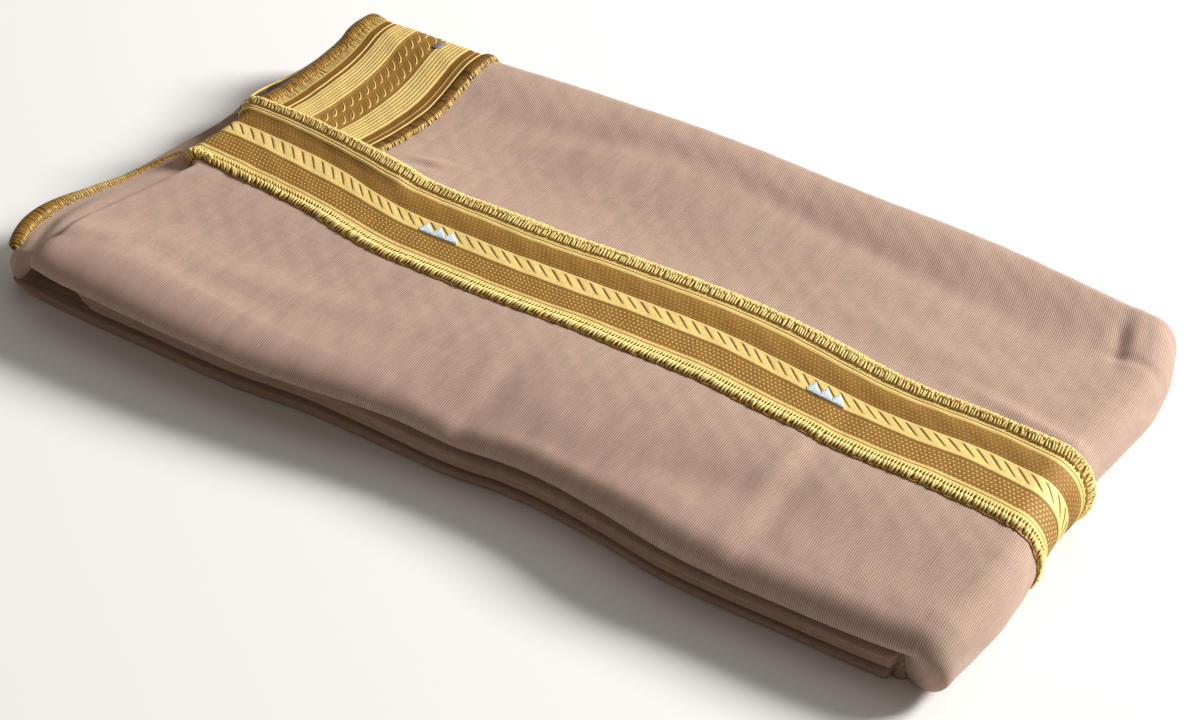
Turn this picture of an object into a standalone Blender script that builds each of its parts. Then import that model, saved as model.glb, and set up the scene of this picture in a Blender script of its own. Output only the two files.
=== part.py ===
# A bisht cloak, folded flat into a parcel and laid on its back, built for Blender 4.5.
# Metres, +Z up. X runs along the parcel, Y from its near long edge to its far one.
# The near front lies over the far front. Its free edge carries the narrow trim, which
# runs the length of the parcel. The wide trim crosses the far front at the left end.
import math

import bpy
import numpy as np

# The parcel
parcel_width = 0.2285
stack_top = 0.0255
middle_x = 0.1832
middle_y = 0.1148

# Cloth
cloth = 0.0015
seam_gap = 0.0003
core_gap = 0.0006

# Folded edges of the two fronts: the inside radius of the roll on each side
right_radius = 0.0120
far_radius = 0.0068
left_radius = 0.0020
roll_steps = 8

# Corners: how far a roll's underside stands out, as a share of its radius, and where in the
# turn from the X side to the Y side the radius begins to change and over how much of it
corner_share = 0.5
corner_start = 0.2
corner_span = 0.75

# Ends of the flat part of the top, for measuring along the trims
flat_start_x = 0.0105
flat_end_x = 0.3590

# Narrow trim, along the free edge of the near front
narrow_width = 0.0540
narrow_loop_share = 0.12
narrow_roll_share = 0.85
narrow_line_shares = (0.30, 0.485, 0.67)
narrow_left_step = 5
narrow_right_step = 6

# The far front's hidden edge, as a share of the narrow trim's width, and the steps that the
# near front makes over it and over the wide trim
hidden_edge_share = 0.69
wide_step_end_x = 0.095
wide_step_length = 0.012

# Wide trim, across the far front: x of its inner edge at the narrow trim and at the far edge,
# x of its outer roll's inner side, and y where it comes out from under the narrow trim
wide_inner_x = 0.0700
wide_inner_far_x = 0.0620
wide_outer_x = 0.0145
wide_line_x = (0.030, 0.046)
wide_start_y = 0.1290
wide_start_share = 0.90
wide_roll_start = 0.007
wide_roll = 0.0080
wide_left_step = 3
wide_far_step = 6

# Lines of the flat cloth between the edges, as shares of the way
near_flat_shares = (0.2, 0.42, 0.62, 0.82)
far_flat_shares = (0.16, 0.33, 0.5, 0.67, 0.84)
columns_past_wide_trim = 19

# Thickness of what is sewn on
trim_wall = 0.0012
roll_height = 0.0028
loop_height = 0.0020
edge_wall = 0.0005

# Layer with a corded edge that shows at the left end, and its cord
corded_wall = 0.0015
cord_radius = 0.0017
cord_sides = 8

# Edges of the parcel. Each row: how far along, and where the rolled edge lies
left_edge = [
    # y, x
    (0.000, 0.0085),
    (0.035, 0.0068),
    (0.075, 0.0085),
    (0.100, 0.0060),
    (0.140, 0.0046),
    (0.228, 0.0036),
]
right_edge = [
    # y, x
    (0.000, 0.3668),
    (0.020, 0.3700),
    (0.050, 0.3715),
    (0.080, 0.3694),
    (0.130, 0.3692),
    (0.160, 0.3722),
    (0.195, 0.3750),
    (0.216, 0.3730),
    (0.230, 0.3695),
]
near_edge = [
    # x, y, radius
    (0.000, -0.0030, 0.00560),
    (0.045, -0.0040, 0.00620),
    (0.090, -0.0050, 0.00650),
    (0.125, 0.0000, 0.00500),
    (0.170, 0.0005, 0.00480),
    (0.215, 0.0020, 0.00420),
    (0.265, -0.0025, 0.00560),
    (0.315, -0.0040, 0.00600),
    (0.345, -0.0020, 0.00550),
    (0.372, 0.0020, 0.00480),
]
far_edge = [
    # x, y
    (0.000, 0.2265),
    (0.060, 0.2274),
    (0.110, 0.2332),
    (0.170, 0.2350),
    (0.235, 0.2315),
    (0.292, 0.2305),
    (0.345, 0.2240),
    (0.372, 0.2215),
]
narrow_edges = [
    # x, y of the near edge, y of the far edge
    (0.000, 0.0830, 0.1298),
    (0.030, 0.0805, 0.1310),
    (0.065, 0.0770, 0.1280),
    (0.100, 0.0706, 0.1238),
    (0.140, 0.0700, 0.1268),
    (0.190, 0.0724, 0.1283),
    (0.232, 0.0732, 0.1280),
    (0.265, 0.0688, 0.1243),
    (0.300, 0.0655, 0.1197),
    (0.335, 0.0658, 0.1200),
    (0.372, 0.0622, 0.1178),
]

# Soft swells and troughs of the top: centre, reach along and across, turn and height
swells = [
    # x, y, along, across, turn in degrees, height
    (0.190, 0.216, 0.120, 0.014, -1, 0.0024),
    (0.215, 0.172, 0.110, 0.018, -6, -0.0020),
    (0.352, 0.212, 0.018, 0.016, 60, 0.0016),
    (0.112, 0.165, 0.040, 0.016, 80, -0.0014),
    (0.055, 0.060, 0.050, 0.022, 10, 0.0012),
    (0.125, 0.035, 0.050, 0.018, 55, -0.0014),
    (0.225, 0.050, 0.060, 0.022, 5, 0.0012),
    (0.300, 0.030, 0.055, 0.020, 20, 0.0010),
    (0.335, 0.090, 0.022, 0.030, 0, 0.0008),
]

# Edges of the hidden layers, in rings from the end of the roll down to the floor.
# share is the height between the floor and the fronts' lowest edge. inset is how far the
# ring's corners stand back from the roll's, and reach is how far the ring stands out.
layer_rings = [
    # name, share, then inset and reach at the near, far, left and right edge
    ("gap", 1.00, (0.0, -0.0004), (0.0, -0.0005), (0.0074, 0.0002), (0.0000, -0.0005)),
    ("fold top", 0.98, (0.0, 0.0008), (0.0, 0.0018), (0.0100, 0.0034), (0.0002, -0.0005)),
    ("fold shoulder", 0.89, (0.0, 0.0040), (0.0, 0.0052), (0.0150, 0.0050), (0.0004, -0.0005)),
    ("fold nose", 0.69, (0.0, 0.0052), (0.0, 0.0064), (0.0200, 0.0058), (0.0006, -0.0005)),
    ("fold heel", 0.49, (0.0, 0.0046), (0.0, 0.0056), (0.0240, 0.0054), (0.0008, -0.0005)),
    ("groove", 0.36, (0.0, 0.0014), (0.0, 0.0024), (0.0200, 0.0034), (0.0010, -0.0005)),
    ("leg shoulder", 0.30, (0.0, 0.0034), (0.0, 0.0046), (-0.0060, 0.0054), (0.0012, -0.0005)),
    ("leg nose", 0.16, (0.0, 0.0042), (0.0, 0.0056), (-0.0066, 0.0064), (0.0014, -0.0005)),
    ("floor", 0.00, (0.0, 0.0024), (0.0, 0.0036), (-0.0060, 0.0044), (0.0016, -0.0005)),
]
right_layers_top = 0.0017

# Edge of the corded layer at the left end, from under the narrow trim to the near corner
corded_edge = [
    # y, x and z of the cord, x of the layer's hidden edge
    (0.0800, 0.0034, 0.0194, 0.0115),
    (0.0640, -0.0014, 0.0192, 0.0130),
    (0.0440, -0.0062, 0.0188, 0.0142),
    (0.0240, -0.0084, 0.0180, 0.0138),
    (0.0080, -0.0076, 0.0168, 0.0086),
    (0.0000, -0.0050, 0.0156, 0.0068),
]

materials = {
    # name: colour, roughness
    "cloth": ((0.49, 0.33, 0.25), 0.85),
    "gold_trim": ((0.60, 0.38, 0.10), 0.50),
    "gold_thread": ((0.78, 0.56, 0.20), 0.40),
}


def clear_scene():
    """Remove every object, so that the model starts in an empty scene."""
    for thing in list(bpy.data.objects):
        bpy.data.objects.remove(thing, do_unlink=True)


def ease(t):
    """Rise smoothly from 0 to 1 as t goes from 0 to 1."""
    t = np.clip(t, 0.0, 1.0)
    return t * t * (3.0 - 2.0 * t)


def between(a, b, t):
    """Go in a straight line from a to b."""
    return a + (b - a) * t


def read_curve(rows, column, at):
    """Smooth curve through one column of a table whose first column is the place along it."""
    table = np.array(rows, float)
    order = np.argsort(table[:, 0])
    place = table[order, 0]
    value = table[order, column]
    slope = np.gradient(value, place)
    at = np.clip(np.asarray(at, float), place[0], place[-1])
    i = np.clip(np.searchsorted(place, at, side="right") - 1, 0, len(place) - 2)
    span = place[i + 1] - place[i]
    t = (at - place[i]) / span
    start = value[i] * (1 + 2 * t) * (1 - t) ** 2 + slope[i] * span * t * (1 - t) ** 2
    end = value[i + 1] * t * t * (3 - 2 * t) + slope[i + 1] * span * t * t * (t - 1)
    return start + end


def swell(x, y):
    """Height of the soft swells and troughs of the top."""
    height = np.zeros_like(x)
    for centre_x, centre_y, along, across, turn, rise in swells:
        angle = math.radians(turn)
        forward = (x - centre_x) * math.cos(angle) + (y - centre_y) * math.sin(angle)
        sideways = (y - centre_y) * math.cos(angle) - (x - centre_x) * math.sin(angle)
        height += rise * np.exp(-0.5 * (forward / along) ** 2 - 0.5 * (sideways / across) ** 2)
    return height


def near_radius(x):
    """Inside radius of the roll at the near edge."""
    return read_curve(near_edge, 2, x)


def flat_ends(t):
    """Left and right ends of the flat part of the top, inside the rolls."""
    y = np.clip(t, 0, 1) * parcel_width
    left = read_curve(left_edge, 1, y) + left_radius
    right = read_curve(right_edge, 1, y) - right_radius
    return left, right


def flat_sides(x):
    """Near and far sides of the flat part of the top, inside the rolls."""
    near = read_curve(near_edge, 1, x) + near_radius(x)
    far = read_curve(far_edge, 1, x) - far_radius
    return near, far


def sides_of(s, t):
    """Steps past the flat part along X and Y, and the turn from the X side to the Y side."""
    step_x = np.maximum(np.maximum(-s, s - 1), 0)
    step_y = np.maximum(np.maximum(-t, t - 1), 0)
    larger = np.maximum(np.maximum(step_x, step_y), 1e-9)
    share = np.minimum(step_x, step_y) / larger
    turn = np.where(step_x >= step_y, 0.5 * share, 1 - 0.5 * share)
    turn = np.where((step_x == 0) & (step_y == 0), 0.0, turn)
    return step_x, step_y, turn


def skin(s, t, lift):
    """Point on the rolled skin that the fronts are wrapped on, moved out by lift.

    s and t run from 0 to 1 over the flat top. Below 0 and above 1 they count the steps
    round the roll, so -roll_steps and 1 + roll_steps are the ends under the roll.
    """
    s, t, lift = np.broadcast_arrays(np.asarray(s, float), np.asarray(t, float), np.asarray(lift, float))
    step_x, step_y, turn = sides_of(s, t)
    angle = math.pi * np.maximum(step_x, step_y) / roll_steps
    past = np.where(angle > math.pi / 2, 1 - np.sin(angle), 0.0)
    left, right = flat_ends(t)
    inset_left = corner_share * left_radius * past
    inset_right = corner_share * right_radius * past
    x = between(left + inset_left, right - inset_right, np.clip(s, 0, 1))
    near, far = flat_sides(x)
    inset_near = corner_share * near_radius(x) * past
    inset_far = corner_share * far_radius * past
    y = between(near + inset_near, far - inset_far, np.clip(t, 0, 1))
    radius_x = np.where(s < 0.5, left_radius, right_radius)
    radius_y = np.where(t < 0.5, near_radius(x), far_radius)
    radius = between(radius_x, radius_y, corner_rise(turn))
    reach = radius * (np.sin(angle) + corner_share * past) + np.sin(angle) * lift
    height = stack_top - radius * (1 - np.cos(angle)) + np.cos(angle) * lift
    height = height + swell(x, y) * (1 + np.cos(angle)) / 2
    x = x + np.where(s < 0.5, -1, 1) * np.cos(turn * math.pi / 2) * reach
    y = y + np.where(t < 0.5, -1, 1) * np.sin(turn * math.pi / 2) * reach
    return np.stack([x - middle_x, y - middle_y, height], axis=-1)


def corner_rise(turn):
    """Share of the Y side's size that a corner has, as it turns from the X side to the Y side."""
    return ease((turn - corner_start) / corner_span)


def s_at(x):
    """The skin's s for a place along the parcel."""
    return (x - flat_start_x) / (flat_end_x - flat_start_x)


def t_at(s, y):
    """The skin's t for a distance from the near edge."""
    near, far = flat_sides(x_of(s))
    return (y - near) / (far - near)


def x_of(s):
    """Place along the parcel of the skin's s."""
    return between(flat_start_x, flat_end_x, np.clip(s, 0, 1))


def narrow_line(s, share):
    """t of a line along the narrow trim, share of the way from its near edge to its far one."""
    x = x_of(s)
    near = read_curve(narrow_edges, 1, x)
    far = read_curve(narrow_edges, 2, x)
    return t_at(s, between(near, far, share))


def wide_line(t, inset):
    """s of a line along the wide trim, inset in from its inner edge."""
    share = np.clip((t * parcel_width - wide_start_y) / (parcel_width - wide_start_y), 0, 1)
    return s_at(between(wide_inner_x, wide_inner_far_x, share) - inset)


def near_front_level(s, share):
    """Height of the near front's underside over the skin.

    It steps up over the hidden edge of the far front, and again over the wide trim.
    """
    on_far_front = cloth + seam_gap
    on_wide_trim = trim_wall + seam_gap
    foot, step = narrow_line_shares[1:]
    first = ease((share - foot) / (step - foot)) * on_far_front
    beside = ease((wide_step_end_x - x_of(s)) / wide_step_length)
    over_wide = np.where(s < -narrow_left_step, 0.0, beside)
    second = ease((share - step) / (narrow_roll_share - step)) * over_wide * on_wide_trim
    under = ease((s - 1 - narrow_right_step) / (roll_steps - narrow_right_step))
    return (first + second) * (1 - under)


def grid_faces(rows, columns, flip=False):
    """Triangles of a grid of points, facing up where rows run along X and columns along Y."""
    i, j = np.meshgrid(np.arange(rows - 1), np.arange(columns - 1), indexing="ij")
    a = (i * columns + j).ravel()
    b = a + columns
    c = b + 1
    d = a + 1
    faces = np.concatenate([np.stack([a, b, c], 1), np.stack([a, c, d], 1)])
    return faces[:, ::-1] if flip else faces


def border_of(rows, columns):
    """The grid's outer points in order, against the clock seen from above."""
    first = [i * columns for i in range(rows)]
    last = [(rows - 1) * columns + j for j in range(1, columns)]
    back = [i * columns + columns - 1 for i in range(rows - 2, -1, -1)]
    down = [j for j in range(columns - 2, 0, -1)]
    return np.array(first + last + back + down)


def strip_faces(upper, lower):
    """Triangles that join two rings of points, the upper one running against the clock."""
    after_upper = np.roll(upper, -1)
    after_lower = np.roll(lower, -1)
    first = np.stack([upper, lower, after_lower], 1)
    second = np.stack([upper, after_lower, after_upper], 1)
    return np.concatenate([first, second])


def make_object(name, points, faces, material):
    """One closed solid from its points and triangles."""
    mesh = bpy.data.meshes.new(name)
    mesh.from_pydata(np.asarray(points).tolist(), [], np.asarray(faces).tolist())
    mesh.validate()
    mesh.materials.append(bpy.data.materials[material])
    mesh.shade_smooth()
    mesh.set_sharp_from_angle(angle=math.radians(40))
    thing = bpy.data.objects.new(name, mesh)
    bpy.context.scene.collection.objects.link(thing)
    return thing


def make_sheet(name, s, t, low, high, material):
    """A wall of cloth between two heights over the skin, on a grid of s and t."""
    s, t = np.broadcast_arrays(s, t)
    rows, columns = s.shape
    top = skin(s, t, high).reshape(-1, 3)
    bottom = skin(s, t, low).reshape(-1, 3)
    ring = border_of(rows, columns)
    faces = [
        grid_faces(rows, columns),
        grid_faces(rows, columns, flip=True) + len(top),
        strip_faces(ring, ring + len(top)),
    ]
    return make_object(name, np.concatenate([top, bottom]), np.concatenate(faces), material)


def length_columns(first_step, last_step):
    """Columns along the parcel: the left roll, the wide trim's lines, the rest and the right roll."""
    left = np.arange(-first_step, 1.0)
    on_trim = [wide_outer_x, *wide_line_x, wide_inner_far_x]
    beside = [wide_inner_x + 0.002, wide_step_end_x - wide_step_length]
    rest = np.linspace(wide_step_end_x, flat_end_x, columns_past_wide_trim + 1)[:-1]
    middle = s_at(np.array([*on_trim, *beside, *rest]))
    return np.concatenate([left, middle, np.arange(1.0, last_step + 2)])


def build_near_front():
    """The front that lies on top, rolled over the near edge and both ends."""
    s = length_columns(roll_steps, roll_steps)[:, None]
    trim_edge = narrow_line(s, 0.0)
    shares = [0.0, narrow_loop_share, *narrow_line_shares, narrow_roll_share, 1.0]
    rolled = [np.full_like(s, float(-k)) for k in range(roll_steps, -1, -1)]
    flat = [between(0.0, trim_edge, part) for part in near_flat_shares]
    trimmed = [narrow_line(s, share) for share in shares]
    t = np.concatenate(rolled + flat + trimmed, axis=1)
    share = np.array([0.0] * (len(rolled) + len(flat)) + shares)[None, :]
    level = near_front_level(s, share)
    make_sheet("near_front", s + 0 * t, t, level, level + cloth, "cloth")


def build_far_front():
    """The front below, from its edge hidden under the near front to the rolled far edge.

    Under the right end, where the near front comes down to the floor, its edge stands clear.
    """
    s = length_columns(wide_left_step, roll_steps)[:, None]
    trim_edge = narrow_line(s, 1.0)
    clear = ease(s - narrow_right_step)
    hidden = between(narrow_line(s, hidden_edge_share), trim_edge + 0.004, clear)
    second = between(narrow_line(s, narrow_roll_share), trim_edge + 0.012, clear)
    edge = between(trim_edge, trim_edge + 0.02, clear)
    flat = [between(edge, 1.0, part) for part in far_flat_shares]
    rolled = [np.full_like(s, 1.0 + k) for k in range(roll_steps + 1)]
    t = np.concatenate([hidden, second, edge] + flat + rolled, axis=1)
    make_sheet("far_front", s + 0 * t, t, 0.0, cloth, "cloth")


def build_narrow_trim():
    """The woven band on the near front's free edge, with a looped edge and a stitched roll."""
    s = length_columns(narrow_left_step, narrow_right_step)[:, None]
    apart = seam_gap / narrow_width
    band_first = narrow_loop_share + apart
    band_last = narrow_roll_share - apart
    pieces = [
        # name, first and last share of the width, lines between, rise, material
        ("narrow_trim", band_first, band_last, narrow_line_shares, 0.0, "gold_trim"),
        ("narrow_trim_loops", 0.0, narrow_loop_share, (0.03, 0.06, 0.09), loop_height, "gold_thread"),
        ("narrow_trim_roll", narrow_roll_share, 1.0, (0.8875, 0.925, 0.9625), roll_height, "gold_thread"),
    ]
    for name, first, last, lines, rise, material in pieces:
        share = np.array([first, *lines, last])[None, :]
        t = narrow_line(s, share)
        low = near_front_level(s, share) + cloth + seam_gap
        across = (share - first) / (last - first)
        crown = rise * np.sqrt(np.clip(1 - (2 * across - 1) ** 2, 0, 1))
        high = low + (crown + edge_wall if rise else trim_wall)
        make_sheet(name, s + 0 * t, t, low, high, material)


def build_wide_trim():
    """The woven band across the far front at the left end, between two stitched rolls."""
    apart = s_at(seam_gap) - s_at(0.0)
    far_steps = np.arange(1.0, wide_far_step + 2)
    low = cloth + seam_gap

    middle = s_at(wide_line_x[0])
    edge = narrow_line(middle, 1.0)
    flat = np.ravel([between(edge, 1.0, part) for part in far_flat_shares])

    under_trim = float(narrow_line(middle, wide_start_share))
    t = np.concatenate([[under_trim], flat, far_steps])[None, :]
    outer = s_at(wide_outer_x)
    band = [np.full_like(t, outer + apart)]
    band += [np.full_like(t, float(s_at(x))) for x in wide_line_x]
    band += [wide_line(t, wide_roll) - apart]
    s = np.concatenate(band, axis=0)
    make_sheet("wide_trim", s, t + 0 * s, low, low + trim_wall, "gold_trim")

    t = np.concatenate([[float(edge) + wide_roll_start], flat, far_steps])[None, :]
    rolls = {
        "wide_trim_outer_roll": [np.full_like(t, k) for k in (-3.0, -2.0, -1.0, 0.0, outer)],
        "wide_trim_inner_roll": [wide_line(t, wide_roll * part) for part in (1.0, 0.75, 0.5, 0.25, 0.0)],
    }
    for name, lines in rolls.items():
        s = np.concatenate(lines, axis=0)
        across = np.linspace(-1, 1, len(lines))[:, None]
        crown = roll_height * np.sqrt(1 - across**2)
        make_sheet(name, s, t + 0 * s, low, low + edge_wall + crown, "gold_thread")


def layer_ring(s, t, name, share, near, far, left, right):
    """Points of one ring of the hidden layers, round the parcel below the rolls."""
    step_x, step_y, turn = sides_of(s, t)
    on_left = s < 0.5
    on_near = t < 0.5
    end_left, end_right = flat_ends(t)
    short = between(1.0, 0.2, ease(np.clip(t, 0, 1) / 0.6))
    inset_left = corner_share * left_radius + left[0] * short
    inset_right = corner_share * right_radius + right[0]
    x = between(end_left + inset_left, end_right - inset_right, np.clip(s, 0, 1))
    side_near, side_far = flat_sides(x)
    inset_near = corner_share * near_radius(x) + near[0]
    inset_far = corner_share * far_radius + far[0]
    y = between(side_near + inset_near, side_far - inset_far, np.clip(t, 0, 1))
    top_near = stack_top - 2 * near_radius(x) - cloth - seam_gap
    top_far = stack_top - 2 * far_radius - cloth - seam_gap
    top_left = corded_layer_top() - corded_wall - seam_gap
    top_x = np.where(on_left, top_left, right_layers_top)
    top_y = np.where(on_near, top_near, top_far)
    height = share * between(top_x, top_y, np.where(on_left, ease(turn / 0.55), corner_rise(turn)))
    radius_x = np.where(on_left, left_radius, right_radius)
    radius_y = np.where(on_near, near_radius(x), far_radius)
    extra_x = np.where(on_left, left[1], right[1])
    extra_y = np.where(on_near, near[1], far[1])
    drawn_in = ease(np.where(on_left, (turn - 0.1) / 0.8, (turn - 0.8) / 0.2))
    radius = between(radius_x, radius_y, corner_rise(turn))
    reach = corner_share * radius + between(extra_x, extra_y, drawn_in)
    x = x + np.where(on_left, -1, 1) * np.cos(turn * math.pi / 2) * reach
    y = y + np.where(on_near, -1, 1) * np.sin(turn * math.pi / 2) * reach
    return np.stack([x - middle_x, y - middle_y, height], axis=-1)


def build_folded_stack():
    """The hidden layers as one rounded solid, with the folded edges of the layers round it."""
    s_lines = length_columns(roll_steps, roll_steps)
    narrow_flat = [narrow_line(0.5, share) for share in (0.0, 0.485, 1.0)]
    edge = float(narrow_flat[-1])
    flat = [between(0.0, narrow_flat[0], part) for part in (0.33, 0.66)]
    flat += narrow_flat + [between(edge, 1.0, part) for part in (0.2, 0.4, 0.6, 0.8)]
    steps = np.arange(1.0, roll_steps + 1)
    t_lines = np.concatenate([-steps[::-1], [0.0], np.ravel(flat), [1.0], 1 + steps])
    s, t = np.meshgrid(s_lines, t_lines, indexing="ij")
    rows, columns = s.shape
    points = [skin(s, t, -core_gap).reshape(-1, 3)]
    faces = [grid_faces(rows, columns)]
    upper = border_of(rows, columns)
    ring_s = s.ravel()[upper]
    ring_t = t.ravel()[upper]
    under_roll = layer_ring(ring_s, ring_t, *layer_rings[0])
    under_roll[:, 2] = points[0][upper, 2]
    rings = [under_roll] + [layer_ring(ring_s, ring_t, *ring) for ring in layer_rings]
    count = len(points[0])
    for ring in rings:
        points.append(ring)
        lower = np.arange(count, count + len(ring_s))
        faces.append(strip_faces(upper, lower))
        upper = lower
        count += len(ring_s)
    points.append(np.array([[0.0, 0.0, 0.0]]))
    hub = np.full_like(upper, count)
    faces.append(np.stack([upper, hub, np.roll(upper, -1)], 1))
    make_object("folded_stack", np.concatenate(points), np.concatenate(faces), "cloth")


def corded_path(count):
    """Centre line of the cord, from under the narrow trim to the near corner."""
    y = np.linspace(corded_edge[0][0], corded_edge[-1][0], count)
    x = read_curve(corded_edge, 1, y)
    z = read_curve(corded_edge, 2, y)
    return np.stack([x, y, z], axis=-1)


def build_corded_layer():
    """The layer that shows at the left end, under the near front, and the cord on its edge."""
    path = corded_path(14)
    across = np.array([0.0, 0.35, 0.7, 1.0])
    start = path[:, None, 0] + cord_radius + seam_gap
    end = read_curve(corded_edge, 3, path[:, None, 1])
    x = between(start, end, across[None, :])
    y = path[:, None, 1] + 0 * x
    inner_top = corded_layer_top()
    edge_top = path[:, None, 2] + corded_wall / 2
    top = between(edge_top, np.minimum(inner_top, edge_top + 0.002), ease(across[None, :]))
    rows, columns = x.shape
    place = [x - middle_x, y - middle_y]
    upper = np.stack([*place, top], axis=-1).reshape(-1, 3)
    lower = np.stack([*place, top - corded_wall], axis=-1).reshape(-1, 3)
    ring = border_of(rows, columns)
    faces = [
        grid_faces(rows, columns),
        grid_faces(rows, columns, flip=True) + len(upper),
        strip_faces(ring, ring + len(upper)),
    ]
    make_object("corded_layer", np.concatenate([upper, lower]), np.concatenate(faces), "cloth")

    forward = np.gradient(path, axis=0)
    forward /= np.linalg.norm(forward, axis=1, keepdims=True)
    aside = np.cross(forward, [0.0, 0.0, 1.0])
    aside /= np.linalg.norm(aside, axis=1, keepdims=True)
    over = np.cross(aside, forward)
    turn = np.arange(cord_sides) * 2 * math.pi / cord_sides
    circle = aside[:, None] * np.cos(turn)[None, :, None] + over[:, None] * np.sin(turn)[None, :, None]
    tube = path[:, None] + cord_radius * circle - [middle_x, middle_y, 0.0]
    points = np.concatenate([tube.reshape(-1, 3), tube[0].mean(0)[None], tube[-1].mean(0)[None]])
    faces = []
    for i in range(len(path) - 1):
        ring = np.arange(cord_sides) + i * cord_sides
        faces.append(strip_faces(ring, ring + cord_sides))
    first = np.arange(cord_sides)
    last = first + (len(path) - 1) * cord_sides
    caps = [
        np.stack([first, np.roll(first, -1), np.full(cord_sides, len(points) - 2)], 1),
        np.stack([np.roll(last, -1), last, np.full(cord_sides, len(points) - 1)], 1),
    ]
    make_object("gold_cord", points, np.concatenate(faces + caps), "gold_thread")


def corded_layer_top():
    """Height of the corded layer where the near front's left roll rests on it."""
    return stack_top - 2 * left_radius - cloth - seam_gap


def build_materials():
    """One Principled material for the cloth, one for the woven gold and one for the thread."""
    for name, (colour, roughness) in materials.items():
        material = bpy.data.materials.new(name)
        material.use_nodes = True
        shader = material.node_tree.nodes["Principled BSDF"]
        shader.inputs["Base Color"].default_value = (*colour, 1.0)
        shader.inputs["Roughness"].default_value = roughness
        shader.inputs["Metallic"].default_value = 0.0 if name == "cloth" else 0.4


clear_scene()
build_materials()
build_folded_stack()
build_near_front()
build_far_front()
build_narrow_trim()
build_wide_trim()
build_corded_layer()
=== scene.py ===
# A folded bisht cloak: fine cloth, woven gold bands and hand stitching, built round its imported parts.
import math
import bpy
import numpy as np
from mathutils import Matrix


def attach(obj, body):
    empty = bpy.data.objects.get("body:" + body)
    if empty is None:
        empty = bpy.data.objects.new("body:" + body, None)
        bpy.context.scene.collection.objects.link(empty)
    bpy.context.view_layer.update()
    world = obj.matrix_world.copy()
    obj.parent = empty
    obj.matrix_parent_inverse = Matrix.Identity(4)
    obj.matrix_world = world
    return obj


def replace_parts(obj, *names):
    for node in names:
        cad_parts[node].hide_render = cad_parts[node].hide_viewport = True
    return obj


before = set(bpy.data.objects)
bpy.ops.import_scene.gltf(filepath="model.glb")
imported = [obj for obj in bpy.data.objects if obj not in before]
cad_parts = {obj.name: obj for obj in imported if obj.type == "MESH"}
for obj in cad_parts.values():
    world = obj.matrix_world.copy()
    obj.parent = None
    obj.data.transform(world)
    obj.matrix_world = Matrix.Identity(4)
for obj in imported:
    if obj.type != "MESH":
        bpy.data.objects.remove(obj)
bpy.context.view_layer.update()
print("packed parts:", len(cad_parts))


def ease(t):  # 3t^2 - 2t^3, held to 0..1
    t = np.clip(t, 0.0, 1.0)
    return t * t * (3.0 - 2.0 * t)


def between(a, b, t):  # a + (b - a) t
    return a + (b - a) * t


def readCurve(rows, column, at):
    # smooth cubic through one column of a table whose first column is the place
    table = np.array(rows, float)
    place, value = table[:, 0], table[:, column]
    slope = np.gradient(value, place)
    at = np.clip(np.asarray(at, float), place[0], place[-1])
    i = np.clip(np.searchsorted(place, at, side="right") - 1, 0, len(place) - 2)
    span = place[i + 1] - place[i]
    t = (at - place[i]) / span
    start = value[i] * (1 + 2 * t) * (1 - t) ** 2 + slope[i] * span * t * (1 - t) ** 2
    end = value[i + 1] * t * t * (3 - 2 * t) + slope[i + 1] * span * t * t * (t - 1)
    return start + end


def scatter(count, seed, low=0.0, high=1.0):  # a column of random numbers, the same each run
    return np.random.default_rng(seed).uniform(low, high, (count, 1))


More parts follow.
